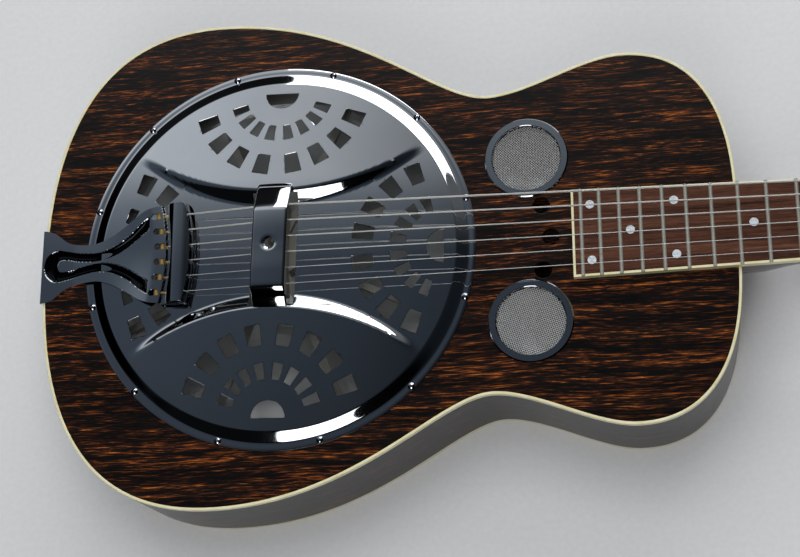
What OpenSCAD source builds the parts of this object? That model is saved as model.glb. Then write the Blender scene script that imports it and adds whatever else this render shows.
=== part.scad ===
// Resonator guitar lying on its back.
// Origin: the back's flat outer face, straight under the centre of the cone.
// +X runs to the headstock, +Y to the bass side, +Z out of the soundboard.

/* [Body] */
// Depth of the body, back face to soundboard face
body_depth = 85; // [70:0.5:105]
// Centre of the cone to the tail end
tail_len = 174.1; // [165:0.1:210]
// Centre of the cone to the neck end
neck_len = 319.7; // [300:0.1:390]
// Half of the lower bout's width
lower_half = 180.2; // [168:0.1:220]
// Half of the waist's width
waist_half = 108.6; // [95:0.1:130]
// Half of the upper bout's width
upper_half = 133.4; // [110:0.1:160]
// Thickness of the soundboard and of the back
plate_t = 3.5; // [2.5:0.1:5]
// Thickness of the bent sides
side_t = 3; // [2.2:0.1:4]
// Width of the binding strips, seen from above
bind_w = 2; // [1:0.1:2.1]
// Height of the binding strips
bind_h = 5; // [4:0.1:8]
// Width of the linings inside the sides
lining_w = 6; // [4:0.5:9]
// Height of the linings
lining_h = 8; // [5:0.5:12]

/* [Cover plate] */
// Radius of the cover plate
cover_r = 141.5; // [136:0.1:170]
// Sheet thickness
cover_t = 1; // [0.7:0.1:1.5]
// Height of the raised north and south domes above the soundboard
dome_h = 15.9; // [13:0.1:19]
// Height of the band under the strings
band_h = 9.9; // [8:0.1:11]
// Inner radius of the flat flange
flange_r = 136.2; // [132:0.1:137]
// Radius where the domes begin
dome_r = 128.5; // [122:0.1:130]
// Height where the domes begin
shoulder_h = 4.5; // [3:0.1:6]
// Centre distance of the circles that bound the raised domes
lens_c = 200; // [190:1:215]
// How far the plate is turned from the centre line
cover_turn = -1.6; // [-3:0.1:3]
// Radius of the fans' centres
fan_r = 119.5; // [115:0.1:120]
// Radius of the half-round hole of each fan
fan_d = 12; // [8:0.5:14]
// Screws around the flange
cover_screws = 12; // [8:1:16]
// Radius of the screw circle
screw_circle = 138.8; // [134:0.1:139.2]

/* [Palm rest] */
// Height of its flat above the soundboard
palm_h = 26; // [23:0.5:32]
// Width along the strings
palm_w = 24.6; // [18:0.1:30]
// Half length of the flat
palm_flat = 29; // [27:0.5:34]
// Half length over the feet
palm_half = 45; // [43:0.5:52]
// Sheet thickness
palm_t = 1.4; // [1:0.1:2]

/* [Resonator] */
// Radius of the cone's rim
cone_r = 133.3; // [130:0.1:134]
// Depth of the ledge below the soundboard face
ledge_depth = 18.5; // [15:0.5:24]
// Thickness of the spun cone
cone_t = 0.8; // [0.5:0.1:1.2]
// Number of spider legs
legs = 8; // [6:1:10]

/* [Scale] */
// Open string length
scale_len = 635; // [600:1:660]
// Saddle, measured from the cone's centre
saddle_x = 2.5; // [0:0.1:6]
// Number of frets
frets_n = 19; // [16:1:20]
// Fingerboard thickness
board_t = 5; // [4:0.1:7]
// Fingerboard width at the nut
board_nut = 46.7; // [44:0.1:52]
// Fingerboard width at the body joint
board_joint = 58.6; // [54:0.1:64]
// Overhang of the fingerboard past its last fret
board_over = 6.4; // [4:0.1:12]
// Height of the strings over the soundboard at the saddle
string_saddle = 20.6; // [19.5:0.1:21.5]
// Height of the strings over the fingerboard at the nut
string_nut = 2.4; // [2:0.1:3]
// String spacing at the saddle
space_saddle = 11.6; // [10.5:0.1:12]
// String spacing at the nut
space_nut = 7.9; // [7:0.05:8.2]

/* [Neck] */
// Depth of the neck's wood at the nut
neck_nut_d = 17; // [14:0.5:20]
// Depth of the neck's wood at the heel
neck_heel_d = 21; // [17:0.5:26]
// Height of the heel's foot above the back face
heel_foot = 9; // [7:0.5:20]
// Backward tilt of the headstock
head_tilt = 14; // [8:1:17]
// Length of the headstock
head_len = 182; // [172:1:200]
// Half of the headstock's greatest width
head_half = 35.5; // [34:0.5:40]
// Thickness of the headstock's wood
head_t = 14; // [12:0.5:16]
// Thickness of the headstock's face veneer
veneer_t = 2; // [1:0.1:2.5]

/* [Tuners] */
// First post, measured along the headstock
post_first = 50; // [46:1:54]
// Distance between posts
post_step = 41; // [38:1:44]
// Distance of the posts from the centre line
post_y = 23; // [22:0.5:25]
// Post radius
post_r = 3; // [2.5:0.1:3.3]
// Running clearance of posts and shafts
run_gap = 0.05; // [0.03:0.01:0.09]
// Teeth of the gear
gear_teeth = 15; // [12:1:18]

/* [Tailpiece] */
// Sheet thickness
tail_t = 1.6; // [1.2:0.1:2]
// Half width at its narrowest
tail_neck = 14.2; // [11:0.1:18]
// Half width at the tail end
tail_end = 27.4; // [22:0.1:34]
// Half width at the strings
tail_wide = 36.4; // [34:0.1:40]

/* [Screens] */
// Distance of the screens along the body
screen_x = 177.7; // [176:0.1:182]
// Distance of the screens from the centre line
screen_y = 59; // [54:0.1:62]
// Radius of the screen's ring
screen_r = 29.2; // [25:0.1:31]
// Radius of the mesh opening
mesh_r = 24; // [20:0.1:26]

/* [Hidden] */
$fn = 64;

top_z = body_depth;
board_z = top_z + board_t;
nut_x = saddle_x + scale_len;
well_in = 134.5;
well_out = 142.8;
well_hole = well_in;
ledge_z = top_z - ledge_depth;
saddle_z = top_z + string_saddle;
nut_z = board_z + string_nut;
function fret_x(n) = saddle_x + scale_len * (1 - 1 / pow(2, n / 12)) * -1 + scale_len;
board_x0 = fret_x(frets_n) - board_over;
function board_half(x) = (board_nut + (board_joint - board_nut) * (nut_x - x) / (nut_x - fret_x(12))) / 2;

// strings: gauge radius, side step from the centre line, post index
gauges = [0.71, 0.58, 0.46, 0.36, 0.23, 0.2];
steps = [2.5, 1.5, 0.5, -0.5, -1.5, -2.5];
function post_side(i) = i <= 3 ? 1 : -1;
function post_row(i) = i <= 3 ? i - 1 : 6 - i;
function post_x(i) = post_first + post_step * post_row(i);

// Curves
function bez(a, b, c, d, t) = pow(1 - t, 3) * a + 3 * pow(1 - t, 2) * t * b + 3 * (1 - t) * t * t * c + pow(t, 3) * d;
function dbez(a, b, c, d, t) = 3 * pow(1 - t, 2) * (b - a) + 6 * (1 - t) * t * (c - b) + 3 * t * t * (d - c);
bout_x = -0.276 * tail_len;
waist_x = 0.472 * neck_len;
upper_x = 0.77 * neck_len;
end_half = 24.9;
body_curves = [
  [[-tail_len, 0], [-tail_len, 0.2963 * lower_half], [bout_x - 0.9504 * (tail_len + bout_x), lower_half], [bout_x, lower_half]],
  [[bout_x, lower_half], [bout_x + 105.2, lower_half], [waist_x - 37.1, waist_half], [waist_x, waist_half]],
  [[waist_x, waist_half], [waist_x + 28.8, waist_half], [upper_x - 28.6, upper_half], [upper_x, upper_half]],
  [[upper_x, upper_half], [upper_x + 0.6588 * (neck_len - upper_x), upper_half], [neck_len, end_half + 0.628 * (upper_half - end_half)], [neck_len, end_half]]];
seg_n = 13;
// One half of the body outline, moved inwards by d
function half_outline(d) = concat([[-tail_len + d, 0]], [for (k = [0 : 3]) for (j = [1 : seg_n]) let (c = body_curves[k], t = j / seg_n,
  p = bez(c[0], c[1], c[2], c[3], t), v = dbez(c[0], c[1], c[2], c[3], t), m = norm(v)) p + d * [v[1], -v[0]] / m], [[neck_len - d, 0]]);
function full_outline(d) = let (h = half_outline(d)) concat(h, [for (i = [len(h) - 2 : -1 : 1]) [h[i][0], -h[i][1]]]);
// Smooth curve through a short list of points
function cr(p0, p1, p2, p3, t) = 0.5 * (2 * p1 + (p2 - p0) * t + (2 * p0 - 5 * p1 + 4 * p2 - p3) * t * t + (3 * p1 - p0 - 3 * p2 + p3) * t * t * t);
function spline(p, n) = concat([for (i = [0 : len(p) - 2]) for (j = [0 : n - 1])
  cr(p[max(i - 1, 0)], p[i], p[i + 1], p[min(i + 2, len(p) - 1)], j / n)], [p[len(p) - 1]]);
function both(h) = concat(h, [for (i = [len(h) - 1 : -1 : 0]) [h[i][0], -h[i][1]]]);

module slab(d, z0, z1) translate([0, 0, z0]) linear_extrude(height = z1 - z0) polygon(full_outline(d));
module ring_slab(d0, d1, z0, z1) difference() { slab(d0, z0, z1); slab(d1, z0 - 1, z1 + 1); }
module from(x, y, z) translate([x, y, z]) children();
// A round bar between two points
module bar(a, b, r) let (v = b - a, l = norm(v)) translate(a)
  rotate([0, acos(v[2] / l), atan2(v[1], v[0])]) cylinder(r = r, h = l);
module in_head() translate([nut_x + 4.6, 0, board_z - 4]) rotate([0, head_tilt, 0]) children();

// ---- body ----
module top() color("#2c1a12") difference() {
  slab(bind_w, top_z - plate_t, top_z);
  from(0, 0, top_z - 10) cylinder(r = well_hole, h = 20, $fn = 96);
  for (s = [1, -1]) from(screen_x, s * screen_y, top_z - 10) cylinder(r = mesh_r + 2.5, h = 20);
  for (s = [1, -1]) from(screen_x + 9.4, s * 23.4, top_z - 10) cylinder(r = 6, h = 20);
  from(screen_x + 15.4, 0, top_z - 10) cylinder(r = 6, h = 20);
  rotate([0, 0, cover_turn]) screw_holes();
}
module back() color("#2c1a12") slab(bind_w, 0, plate_t);
module side(s) color("#24150f") difference() {
  ring_slab(0, side_t, plate_t, top_z - plate_t);
  ring_slab(-1, bind_w, -1, bind_h);
  ring_slab(-1, bind_w, top_z - bind_h, top_z + 1);
  from(-500, s > 0 ? -1000 : 0, -1) cube([1500, 1000, body_depth + 2]);
  from(-tail_len - 5, 0, pin_z) rotate([0, 90, 0]) cylinder(r = pin_screw_r, h = 20);
}
module bindings() color("#e3ddb4") {
  ring_slab(0, bind_w, top_z - bind_h, top_z);
  ring_slab(0, bind_w, 0, bind_h);
}
block_in = plate_t;
block_top = top_z - plate_t;
tail_block_x = -tail_len + 24;
neck_block_x = neck_len - 42;
module tail_block() color("#b98d5c") difference() {
  intersection() { slab(side_t, block_in, block_top); from(-500, -34, 0) cube([500 + tail_block_x, 68, 200]); }
  from(-tail_len - 5, 0, pin_z) rotate([0, 90, 0]) cylinder(r = pin_screw_r, h = 24);
}
module neck_block() color("#b98d5c")
  intersection() { slab(side_t, block_in, block_top); from(neck_block_x, -36, 0) cube([200, 72, 200]); }
module linings() color("#c8a473") difference() {
  union() {
    ring_slab(side_t, side_t + lining_w, block_in, block_in + lining_h);
    ring_slab(side_t, side_t + lining_w, block_top - lining_h, block_top);
  }
  from(-500, -34, -1) cube([500 + tail_block_x, 68, 200]);
  from(neck_block_x, -36, -1) cube([200, 72, 200]);
}
module back_braces() color("#d8bd8c") for (x = [well_out + 22, neck_block_x - 38]) intersection() {
  slab(side_t + lining_w, block_in, block_in + 14);
  from(x, -200, 0) cube([8, 400, 100]);
}

// ---- resonator ----
module sound_well() color("#a67c4e") difference() {
  union() {
    from(0, 0, block_in) difference() {
      cylinder(r = well_out, h = block_top - block_in, $fn = 96);
      from(0, 0, -1) cylinder(r = well_in, h = 200, $fn = 96);
    }
    from(0, 0, ledge_z - 6) difference() {
      cylinder(r = well_in + 0.5, h = 6, $fn = 96);
      from(0, 0, -1) cylinder(r = well_in - 10, h = 8, $fn = 96);
    }
  }
  for (a = [22.5 : 45 : 359]) rotate([0, 0, a]) from(100, -32, block_in + 14) cube([60, 64, ledge_z - 34]);
  rotate([0, 0, cover_turn]) screw_holes();
}
cone_peak = ledge_z - 12;
function cone_line(o) = [[cone_r, ledge_z + o], [122, ledge_z + o], [118, ledge_z - 3 + o], [46, ledge_z - 31 + o],
  [40, ledge_z - 31 + o], [9, cone_peak + o], [0, cone_peak + o]];
module cone() color("#c9ccce") rotate_extrude($fn = 96)
  polygon(concat(cone_line(0), [for (i = [6 : -1 : 0]) cone_line(cone_t)[i]]));
hub_z = top_z - 2;
foot_z = ledge_z + cone_t;
leg_tilt = atan2(hub_z - foot_z, 110);
module spider() color("#8f9294") difference() {
  union() {
    from(0, 0, hub_z - 4) cylinder(r = 17, h = 8);
    from(saddle_x - 6.5, -33, hub_z) cube([13, 66, top_z + 10 - hub_z]);
    intersection() {
      union() for (a = [0 : 360 / legs : 359]) rotate([0, 0, a + 180 / legs]) {
        from(11, -2.5, hub_z - 0.6) rotate([0, leg_tilt, 0]) cube([118, 5, 4.2]);
        from(122.4, -2.5, foot_z) cube([3.4, 5, 3]);
      }
      from(0, 0, foot_z) cylinder(r = 126, h = 40, $fn = 96);
    }
  }
  from(saddle_x - 2.3, -31, hub_z + 4) cube([4.6, 62, 40]);
  from(saddle_x, 0, 0) cylinder(r = 2, h = 200);
}
module saddles() color("#d9b98a") {
  for (s = [1, -1]) from(saddle_x, s * 16.95, hub_z + 4) xz(13.95)
    polygon([[-2.3, 0], [2.3, 0], [2.3, saddle_z - hub_z - 4.2], [0, saddle_z - hub_z - 4.02], [-2.3, saddle_z - hub_z - 4.5]]);
}
module cone_screw() color("#b9bcc0") {
  from(saddle_x, 0, cone_peak + cone_t) cylinder(r = 2, h = hub_z + 4 - cone_peak - cone_t);
  difference() {
    from(saddle_x, 0, hub_z + 4) cylinder(r = 2.25, h = 3);
    from(saddle_x - 0.4, -4, hub_z + 6) cube([0.8, 8, 4]);
  }
}

// ---- cover plate ----
// Radius of a sphere cap that is h high at the centre and shoulder_h high at dome_r
function cap_r(h) = (dome_r * dome_r + pow(h - shoulder_h, 2)) / (2 * (h - shoulder_h));
module cap(h) from(0, 0, h - cap_r(h)) sphere(r = cap_r(h), $fn = 200);
step_lo = 166;
step_run = 8;
step_rise = 5.2;
module lens(s) from(0, s * lens_c, band_h - 0.4 - 20) cylinder(r1 = step_lo + 20 * step_run / step_rise,
  r2 = step_lo - 20 * step_run / step_rise, h = 40, $fn = 128);
module dome_solid() {
  cylinder(r = flange_r, h = cover_t, $fn = 96);
  intersection() {
    from(0, 0, cover_t) cylinder(r1 = flange_r, r2 = flange_r - 20 * (flange_r - dome_r) / (shoulder_h - cover_t), h = 20, $fn = 96);
    cap(band_h);
  }
  for (s = [1, -1]) intersection() { from(0, 0, cover_t) cylinder(r = dome_r - 3, h = 30, $fn = 96); cap(dome_h); lens(s); }
}
module wedge(r0, r1, a, w) rotate(a) polygon([r0 * [cos(w), -sin(w)], r1 * [cos(w), -sin(w)], r1 * [cos(w), sin(w)], r0 * [cos(w), sin(w)]]);
module fan_2d() {
  intersection() { circle(r = fan_d); translate([0, -50]) square([100, 100]); }
  for (k = [-3.5 : 1 : 3.5]) let (a = k * 19.1 + sign(k) * 1.45) { wedge(26.5, 38, a, 5.4); wedge(50, 64.9, a, 5.2); }
}
module screw_holes() for (k = [0 : cover_screws - 1]) rotate([0, 0, (k + 0.5) * 360 / cover_screws])
  from(screw_circle, 0, top_z - 16) cylinder(r = 1.4, h = 30, $fn = 24);
module cover_plate() color("#b7bcc4") rotate([0, 0, cover_turn]) difference() {
  from(0, 0, top_z) difference() {
    union() { cylinder(r = cover_r, h = cover_t, $fn = 96); dome_solid(); }
    from(0, 0, -cover_t) dome_solid();
    for (a = [0 : 90 : 270]) rotate([0, 0, a]) from(fan_r, 0, -1) rotate([0, 0, 180]) linear_extrude(height = 40) fan_2d();
    from(-16, -41, -1) cube([32, 82, 40]);
  }
  screw_holes();
}
function palm_pts(o) = let (h = top_z + palm_h - o, e = palm_half - o * 0.8, f = palm_flat)
  spline([[e + 1.5, top_z + dome_h - 5], [e + 0.6, h - 11.6], [e - 3.5, h - 9.2], [e - 8.5, h - 4.9], [e - 12.5, h - 1.5], [f, h]], 5);
module palm_rest() color("#aeb4bd") rotate([0, 0, cover_turn]) difference() {
  from(-palm_w / 2, 0, 0) rotate([90, 0, 90]) linear_extrude(height = palm_w) difference() {
    polygon(both_y(palm_pts(0)));
    polygon(both_y(concat([[palm_half - palm_t + 1.5, top_z - 5]], palm_pts(palm_t))));
  }
  from(0, 0, top_z) dome_solid();
  from(0, 0, top_z) cylinder(r = 3.2, h = 60);
}
function both_y(h) = concat(h, [for (i = [len(h) - 1 : -1 : 0]) [-h[i][0], h[i][1]]]);
module plate_screws() color("#d5d8dc") rotate([0, 0, cover_turn]) for (k = [0 : cover_screws - 1])
  rotate([0, 0, (k + 0.5) * 360 / cover_screws]) {
    from(screw_circle, 0, top_z - 14) cylinder(r = 1.4, h = 14 + cover_t, $fn = 24);
    difference() {
      intersection() {
        from(screw_circle, 0, top_z + cover_t) cylinder(r = 2.5, h = 1.6, $fn = 32);
        from(screw_circle, 0, top_z + cover_t - 1.5) sphere(r = 3, $fn = 32);
      }
      for (q = [0, 90]) from(screw_circle, 0, top_z + cover_t + 1.1) rotate([0, 0, q]) cube([2.6, 0.6, 1.2], center = true);
    }
  }

// ---- screens ----
module screen_rings() color("#c3c8ce") for (s = [1, -1]) from(screen_x, s * screen_y, top_z) rotate_extrude()
  polygon([[mesh_r, -3], [mesh_r + 2.5, -3], [mesh_r + 2.5, 0], [screen_r, 0], [screen_r, 0.6], [screen_r - 0.9, 1.5],
    [screen_r - 2.6, 1.9], [mesh_r + 1, 1.3], [mesh_r, 0.4]]);
module screen_meshes() color("#9a9da0") for (s = [1, -1]) from(screen_x, s * screen_y, top_z - 2.2)
  cylinder(r = mesh_r - 0.02, h = 0.8);

// ---- tailpiece ----
pin_z = body_depth * 0.5;
pin_screw_r = 2.2;
plate_x1 = -54.5;
hole_x = -84.9;
function tail_plan() = both(concat([[-tail_len - tail_t, tail_end]], spline([[-tail_len, tail_end], [-tail_len + 8, 25],
  [-tail_len + 19, 17.2], [-tail_len + 30, tail_neck + 0.4], [-tail_len + 42, tail_neck], [-tail_len + 54, 17.8], [-tail_len + 66, 24.6],
  [-tail_len + 81, 33.6], [-tail_len + 98, tail_wide], [-59.2, tail_wide]], 6), [[-56.4, 22], [-55, 10]]));
// Height of the sheet's underside along the body
tail_rise = [[-200, 0], [-148, 0], [-141.8, 1.5], [-128, 6.6], [-104, 8.6], [-94, 9.7], [-84, 10.2], [-70, 11.2], [-54, 12.4]];
function tail_side(o) = [for (p = tail_rise) [p[0], top_z + p[1] + o]];
function tail_line(x) = lookup(x, tail_rise) + top_z;
module xz(y) rotate([90, 0, 0]) from(0, 0, -y) linear_extrude(height = 2 * y) children();
module groove_2d() difference() {
  polygon(both(spline([[-tail_len + 2, 0], [-tail_len + 3, 7], [-tail_len + 9, 11.4], [-tail_len + 18, 10.4], [-tail_len + 30, 7.8],
    [-tail_len + 44, 6.8], [-tail_len + 56, 9.6], [-tail_len + 68, 15.8], [-tail_len + 81, 26.4]], 5)));
  polygon(both(spline([[-tail_len + 10, 0], [-tail_len + 12, 3.6], [-tail_len + 17, 4.6], [-tail_len + 28, 2.6], [-tail_len + 44, 1.2],
    [-tail_len + 57, 3.6], [-tail_len + 68, 8.6], [-tail_len + 81, 19]], 5)));
}
module tailpiece() color("#aab0b9") difference() {
  union() {
    intersection() {
      from(0, 0, top_z - 1) linear_extrude(height = 60) polygon(tail_plan());
      xz(60) polygon(concat(tail_side(tail_t), [for (i = [len(tail_rise) - 1 : -1 : 0]) tail_side(0)[i]]));
    }
    intersection() {
      from(0, 0, top_z) linear_extrude(height = 60) intersection() {
        polygon(tail_plan());
        difference() { translate([-76.6 - 150, 0]) circle(r = 150, $fn = 96); translate([-104 - 150, 0]) circle(r = 150, $fn = 96); }
      }
      xz(60) polygon([[-110, tail_line(-94)], [-60, tail_line(-60)], [-60, top_z + 15.4], [-89, top_z + 15.4], [-94, top_z + 14.2], [-104, tail_line(-104) + tail_t]]);
    }
    from(-tail_len - tail_t, 0, 0) rotate([90, 0, 90]) linear_extrude(height = tail_t) polygon(both_y(
      [[tail_end, top_z + tail_t], [tail_end - 1, top_z - 8], [15, top_z - 26], [11, pin_z], [9, pin_z - 8], [4, pin_z - 11]]));
  }
  from(0, 0, top_z + tail_t - 0.7) linear_extrude(height = 30) intersection() { groove_2d(); translate([-400, -50]) square([400 - 148, 100]); }
  xz_groove();
  for (i = [0 : 5]) {
    from(hole_x + ball_bow(i), steps[i] * space_tail, top_z) cylinder(r = 2.4, h = 40, $fn = 32);
    from(hole_x + ball_bow(i) + 3.2, steps[i] * space_tail, top_z + 12.9) rotate([90, 0, 0]) cylinder(r = 2.05, h = 4.2, center = true, $fn = 32);
    from(hole_x + ball_bow(i) + 3.2, steps[i] * space_tail - 2.1, top_z + 12.9) cube([2.05, 4.2, 20]);
    from(hole_x + ball_bow(i), steps[i] * space_tail - 2.1, top_z + 12.9) cube([3.2, 4.2, 20]);
  }
  for (i = [0 : 5]) translate(string_tail(i)) rotate([0, 0, atan2(steps[i] * (space_saddle - space_tail), 85)])
    from(0, -gauges[i] - 0.15, -gauges[i] - 0.15) cube([24, 2 * gauges[i] + 0.3, 20]);
  from(-tail_len - 10, 0, pin_z) rotate([0, 90, 0]) cylinder(r = pin_screw_r, h = 20);
}
// Groove pressed into the sloped part of the sheet
module xz_groove() intersection() {
  from(0, 0, top_z - 1) linear_extrude(height = 60) intersection() { groove_2d(); translate([-148, -50]) square([54, 100]); }
  xz(60) polygon(concat(tail_side(tail_t + 20), [for (i = [len(tail_rise) - 1 : -1 : 0]) tail_side(tail_t - 0.7)[i]]));
}
space_tail = 11.25;
function ball_bow(i) = 1.6 - 0.55 * steps[i] * steps[i];
module tail_bar() color("#c2c7ce") difference() {
  intersection() {
    from(0, 0, top_z) linear_extrude(height = 60) intersection() {
      difference() { translate([-59.2 - 149, 0]) circle(r = 149, $fn = 96); translate([-72.6 - 156, 0]) circle(r = 156, $fn = 96); }
      translate([-100, -tail_wide]) square([60, 2 * tail_wide]);
    }
    xz(60) polygon([for (p = spline([[-76, 16.4], [-73.4, 18.2], [-70, 19.4], [-65, 19.4], [-60.5, 18.4], [-56, 17]], 5)) [p[0], p[1] + top_z],
      [-56, top_z + 11], [-76, top_z + 9]]);
  }
  xz(60) polygon(concat([for (p = tail_rise) if (p[0] > -100) [p[0], top_z + p[1] + tail_t]], [[-54, top_z - 9], [-94, top_z - 9]]));
  intersection() {
    xz(31) polygon([[-90, top_z], [-40, top_z], [-40, top_z + 18], [-58, top_z + 16.7], [-78, top_z + 15.2]]);
  }
}
module end_pin() color("#c9ccd0") from(-tail_len - tail_t, 0, pin_z) rotate([0, -90, 0]) {
  rotate_extrude() polygon([[0, 0], [6.2, 0], [4.4, 2], [4, 4], [4, 8], [7, 10.4], [7.4, 12], [6.6, 13.6], [4, 14.6], [0, 15]]);
  from(0, 0, -20) cylinder(r = pin_screw_r, h = 20);
}

// ---- neck ----
module d_section(x, hw, d, t) from(x, 0, top_z - d) intersection() {
  from(0, 0, d) rotate([90, 0, 90]) linear_extrude(height = t) scale([hw, d]) circle(r = 1, $fn = 32);
  from(-1, -100, -1) cube([t + 2, 200, d + 1]);
}
module neck() color("#3a2216") difference() {
  union() {
    hull() {
      d_section(neck_len, board_half(neck_len), neck_heel_d, 1);
      d_section(nut_x - 6, board_half(nut_x), neck_nut_d, 1);
    }
    hull() {
      from(neck_len, -board_half(neck_len), top_z - 4) cube([2, 2 * board_half(neck_len), 4]);
      from(neck_len, -17, top_z - 46) cube([14, 34, 1]);
      from(neck_len + 52, -board_half(neck_len + 52) + 4, top_z - 8) cube([1, 2 * board_half(neck_len + 52) - 8, 4]);
      d_section(neck_len + 24, board_half(neck_len) - 2, neck_heel_d, 1);
    }
    hull() {
      from(neck_len, -17, top_z - 46) cube([14, 34, 1]);
      from(neck_len, -14, heel_foot) cube([11, 28, 1]);
      from(neck_len, -board_half(neck_len) + 6, top_z - 22) cube([4, 2 * board_half(neck_len) - 12, 4]);
    }
    hull() {
      d_section(nut_x - 24, board_half(nut_x), neck_nut_d, 1);
      from(nut_x + 4.6, -board_half(nut_x), board_z - 8) cube([0.1, 2 * board_half(nut_x), 2]);
      in_head() from(6, -24, -head_t - veneer_t) cube([1, 48, head_t]);
    }
    in_head() from(0, 0, -head_t - veneer_t) linear_extrude(height = head_t) head_2d();
  }
  from(0, -100, top_z) cube([nut_x + 5.2, 200, 20]);
  from(nut_x, -100, board_z - 6) cube([4.6, 200, 20]);
  in_head() from(-10, -100, -veneer_t) cube([60, 200, 30]);
  from(neck_len + 6, -3, top_z - 10) cube([nut_x - neck_len + 40, 6, 10.1]);
  for (i = [1 : 6]) in_head() from(post_x(i), post_side(i) * post_y, -40) cylinder(r = 5, h = 60);
  for (i = [1 : 6]) in_head() from(post_x(i) - 7, post_side(i) * (post_y - 8), -40) cylinder(r = 1.2, h = 32, $fn = 24);
  for (x = [11.5, 33]) in_head() from(x, 0, -12) cylinder(r = 1, h = 30, $fn = 24);
}
module head_2d() polygon(both(spline([[3, board_nut / 2 + 0.2], [14, board_nut / 2 + 2.5], [26, head_half - 2], [36, head_half],
  [80, head_half - 1], [130, head_half - 2.5], [head_len - 14, head_half - 4], [head_len - 5, head_half - 7], [head_len - 1, head_half - 14], [head_len, 12], [head_len - 3, 0]], 5)));
module head_veneer() color("#1d1512") in_head() difference() {
  from(0, 0, -veneer_t) linear_extrude(height = veneer_t) difference() { head_2d(); square([7, 200], center = true); }
  for (i = [1 : 6]) from(post_x(i), post_side(i) * post_y, -40) cylinder(r = 5, h = 60);
  from(4, -3, -9) cube([24, 6, 20]);
  for (x = [11.5, 33]) from(x, 0, -12) cylinder(r = 1, h = 30, $fn = 24);
}
module board_2d(o) polygon([[board_x0 + o, -board_half(board_x0) + o], [nut_x, -board_half(nut_x) + o], [nut_x, board_half(nut_x) - o], [board_x0 + o, board_half(board_x0) - o]]);
board_bind = 1.6;
module fingerboard() color("#5d3a2c") difference() {
  from(0, 0, top_z) linear_extrude(height = board_t) board_2d(board_bind);
  for (n = [1 : frets_n]) from(fret_x(n) - 0.3, -100, board_z - 2) cube([0.6, 200, 10]);
  dots(0);
}
module board_binding() color("#e3ddb4") from(0, 0, top_z) linear_extrude(height = board_t) difference() {
  board_2d(0);
  difference() { board_2d(board_bind); translate([nut_x, -100]) square([10, 200]); }
}
module frets() color("#c4c4b8") for (n = [1 : frets_n]) let (x = fret_x(n), w = board_half(x)) {
  from(x - 0.3, -w + board_bind, board_z - 2) cube([0.6, 2 * w - 2 * board_bind, 2]);
  from(x, 0, board_z) rotate([90, 0, 0]) linear_extrude(height = 2 * w, center = true)
    intersection() { translate([0, -0.25]) circle(r = 1.35, $fn = 32); translate([-2, 0]) square([4, 2]); }
}
function fret_mid(n) = (fret_x(n) + fret_x(n - 1)) / 2;
module dots(z) from(0, 0, z) {
  for (n = [3, 7, 12, 17]) from(fret_mid(n), 0, board_z - 1.2) cylinder(r = 3, h = 1.2, $fn = 32);
  for (n = [5, 9, 15, 19]) for (s = [1, -1]) if (n <= frets_n) from(fret_mid(n), s * board_half(fret_mid(n)) * 0.64, board_z - 1.2) cylinder(r = 3, h = 1.2, $fn = 32);
}
module dot_inlays() color("#d5dade") dots(0);
module nut() color("#e9e2c8") difference() {
  intersection() {
    from(nut_x, -board_half(nut_x), board_z - 6) cube([4.6, 2 * board_half(nut_x), string_nut + 6.6]);
    from(nut_x + 1, 0, board_z - 25 + string_nut + 0.6) rotate([90, 0, 0]) cylinder(r = 25, h = 100, center = true, $fn = 96);
  }
  for (i = [0 : 5]) translate(string_nut_p(i)) {
    rotate([0, 0, atan2(steps[i] * (space_saddle - space_nut), -scale_len)]) from(0, 0, -gauges[i] - 0.03) slot(-1, 3, 0, gauges[i]);
    rotate([0, 0, nut_turn(i)]) from(0, 0, -gauges[i] - 0.03) slot(-1, 8, 0.24, gauges[i]);
  }
}
// Open slot with a sloping floor, for one string
module slot(x0, x1, fall, g) xz(g + 0.03) polygon([[x0, 0], [0, 0], [x1, -max(0, x1) * fall], [x1, 9], [x0, 9]]);
function nut_turn(i) = let (d = string_end(i) - string_nut_p(i)) atan2(d[1], d[0]);
module truss_rod() color("#8c8f93") {
  from(neck_len + 8, -2.5, top_z - 8) cube([nut_x - neck_len - 12, 5, 7]);
  from(nut_x - 4, 0, top_z - 4.6) rotate([0, 90, 0]) difference() { cylinder(r = 2.4, h = 12); from(0, 0, 7) cylinder(r = 1.4, h = 8, $fn = 6); }
}
module truss_cover() color("#161312") in_head() {
  difference() {
    linear_extrude(height = 2.2) polygon(both(spline([[4.5, 11], [12, 10.5], [24, 7.5], [34, 5.2], [39, 2.5], [40, 0]], 5)));
    for (x = [11.5, 33]) from(x, 0, -1) cylinder(r = 1, h = 9, $fn = 24);
  }
  for (x = [11.5, 33]) from(x, 0, -6) cylinder(r = 1, h = 9.1, $fn = 24);
}

// ---- strings ----
function string_tail(i) = [hole_x + ball_bow(i) + 3.2, steps[i] * space_tail, top_z + 12.9];
function string_saddle_p(i) = [saddle_x, steps[i] * space_saddle, saddle_z + gauges[i]];
function string_nut_p(i) = [nut_x + 0.4, steps[i] * space_nut, nut_z + gauges[i]];
coil_z = 8.6;
coil_h = 3.2;
function head_point(p) = [nut_x + 4.6 + p[0] * cos(head_tilt) + p[2] * sin(head_tilt), p[1], board_z - 4 - p[0] * sin(head_tilt) + p[2] * cos(head_tilt)];
function string_end(i) = head_point([post_x(i + 1), post_side(i + 1) * (post_y - post_r + 0.3 - 3 * gauges[i] - 0.12), coil_z]);
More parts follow.
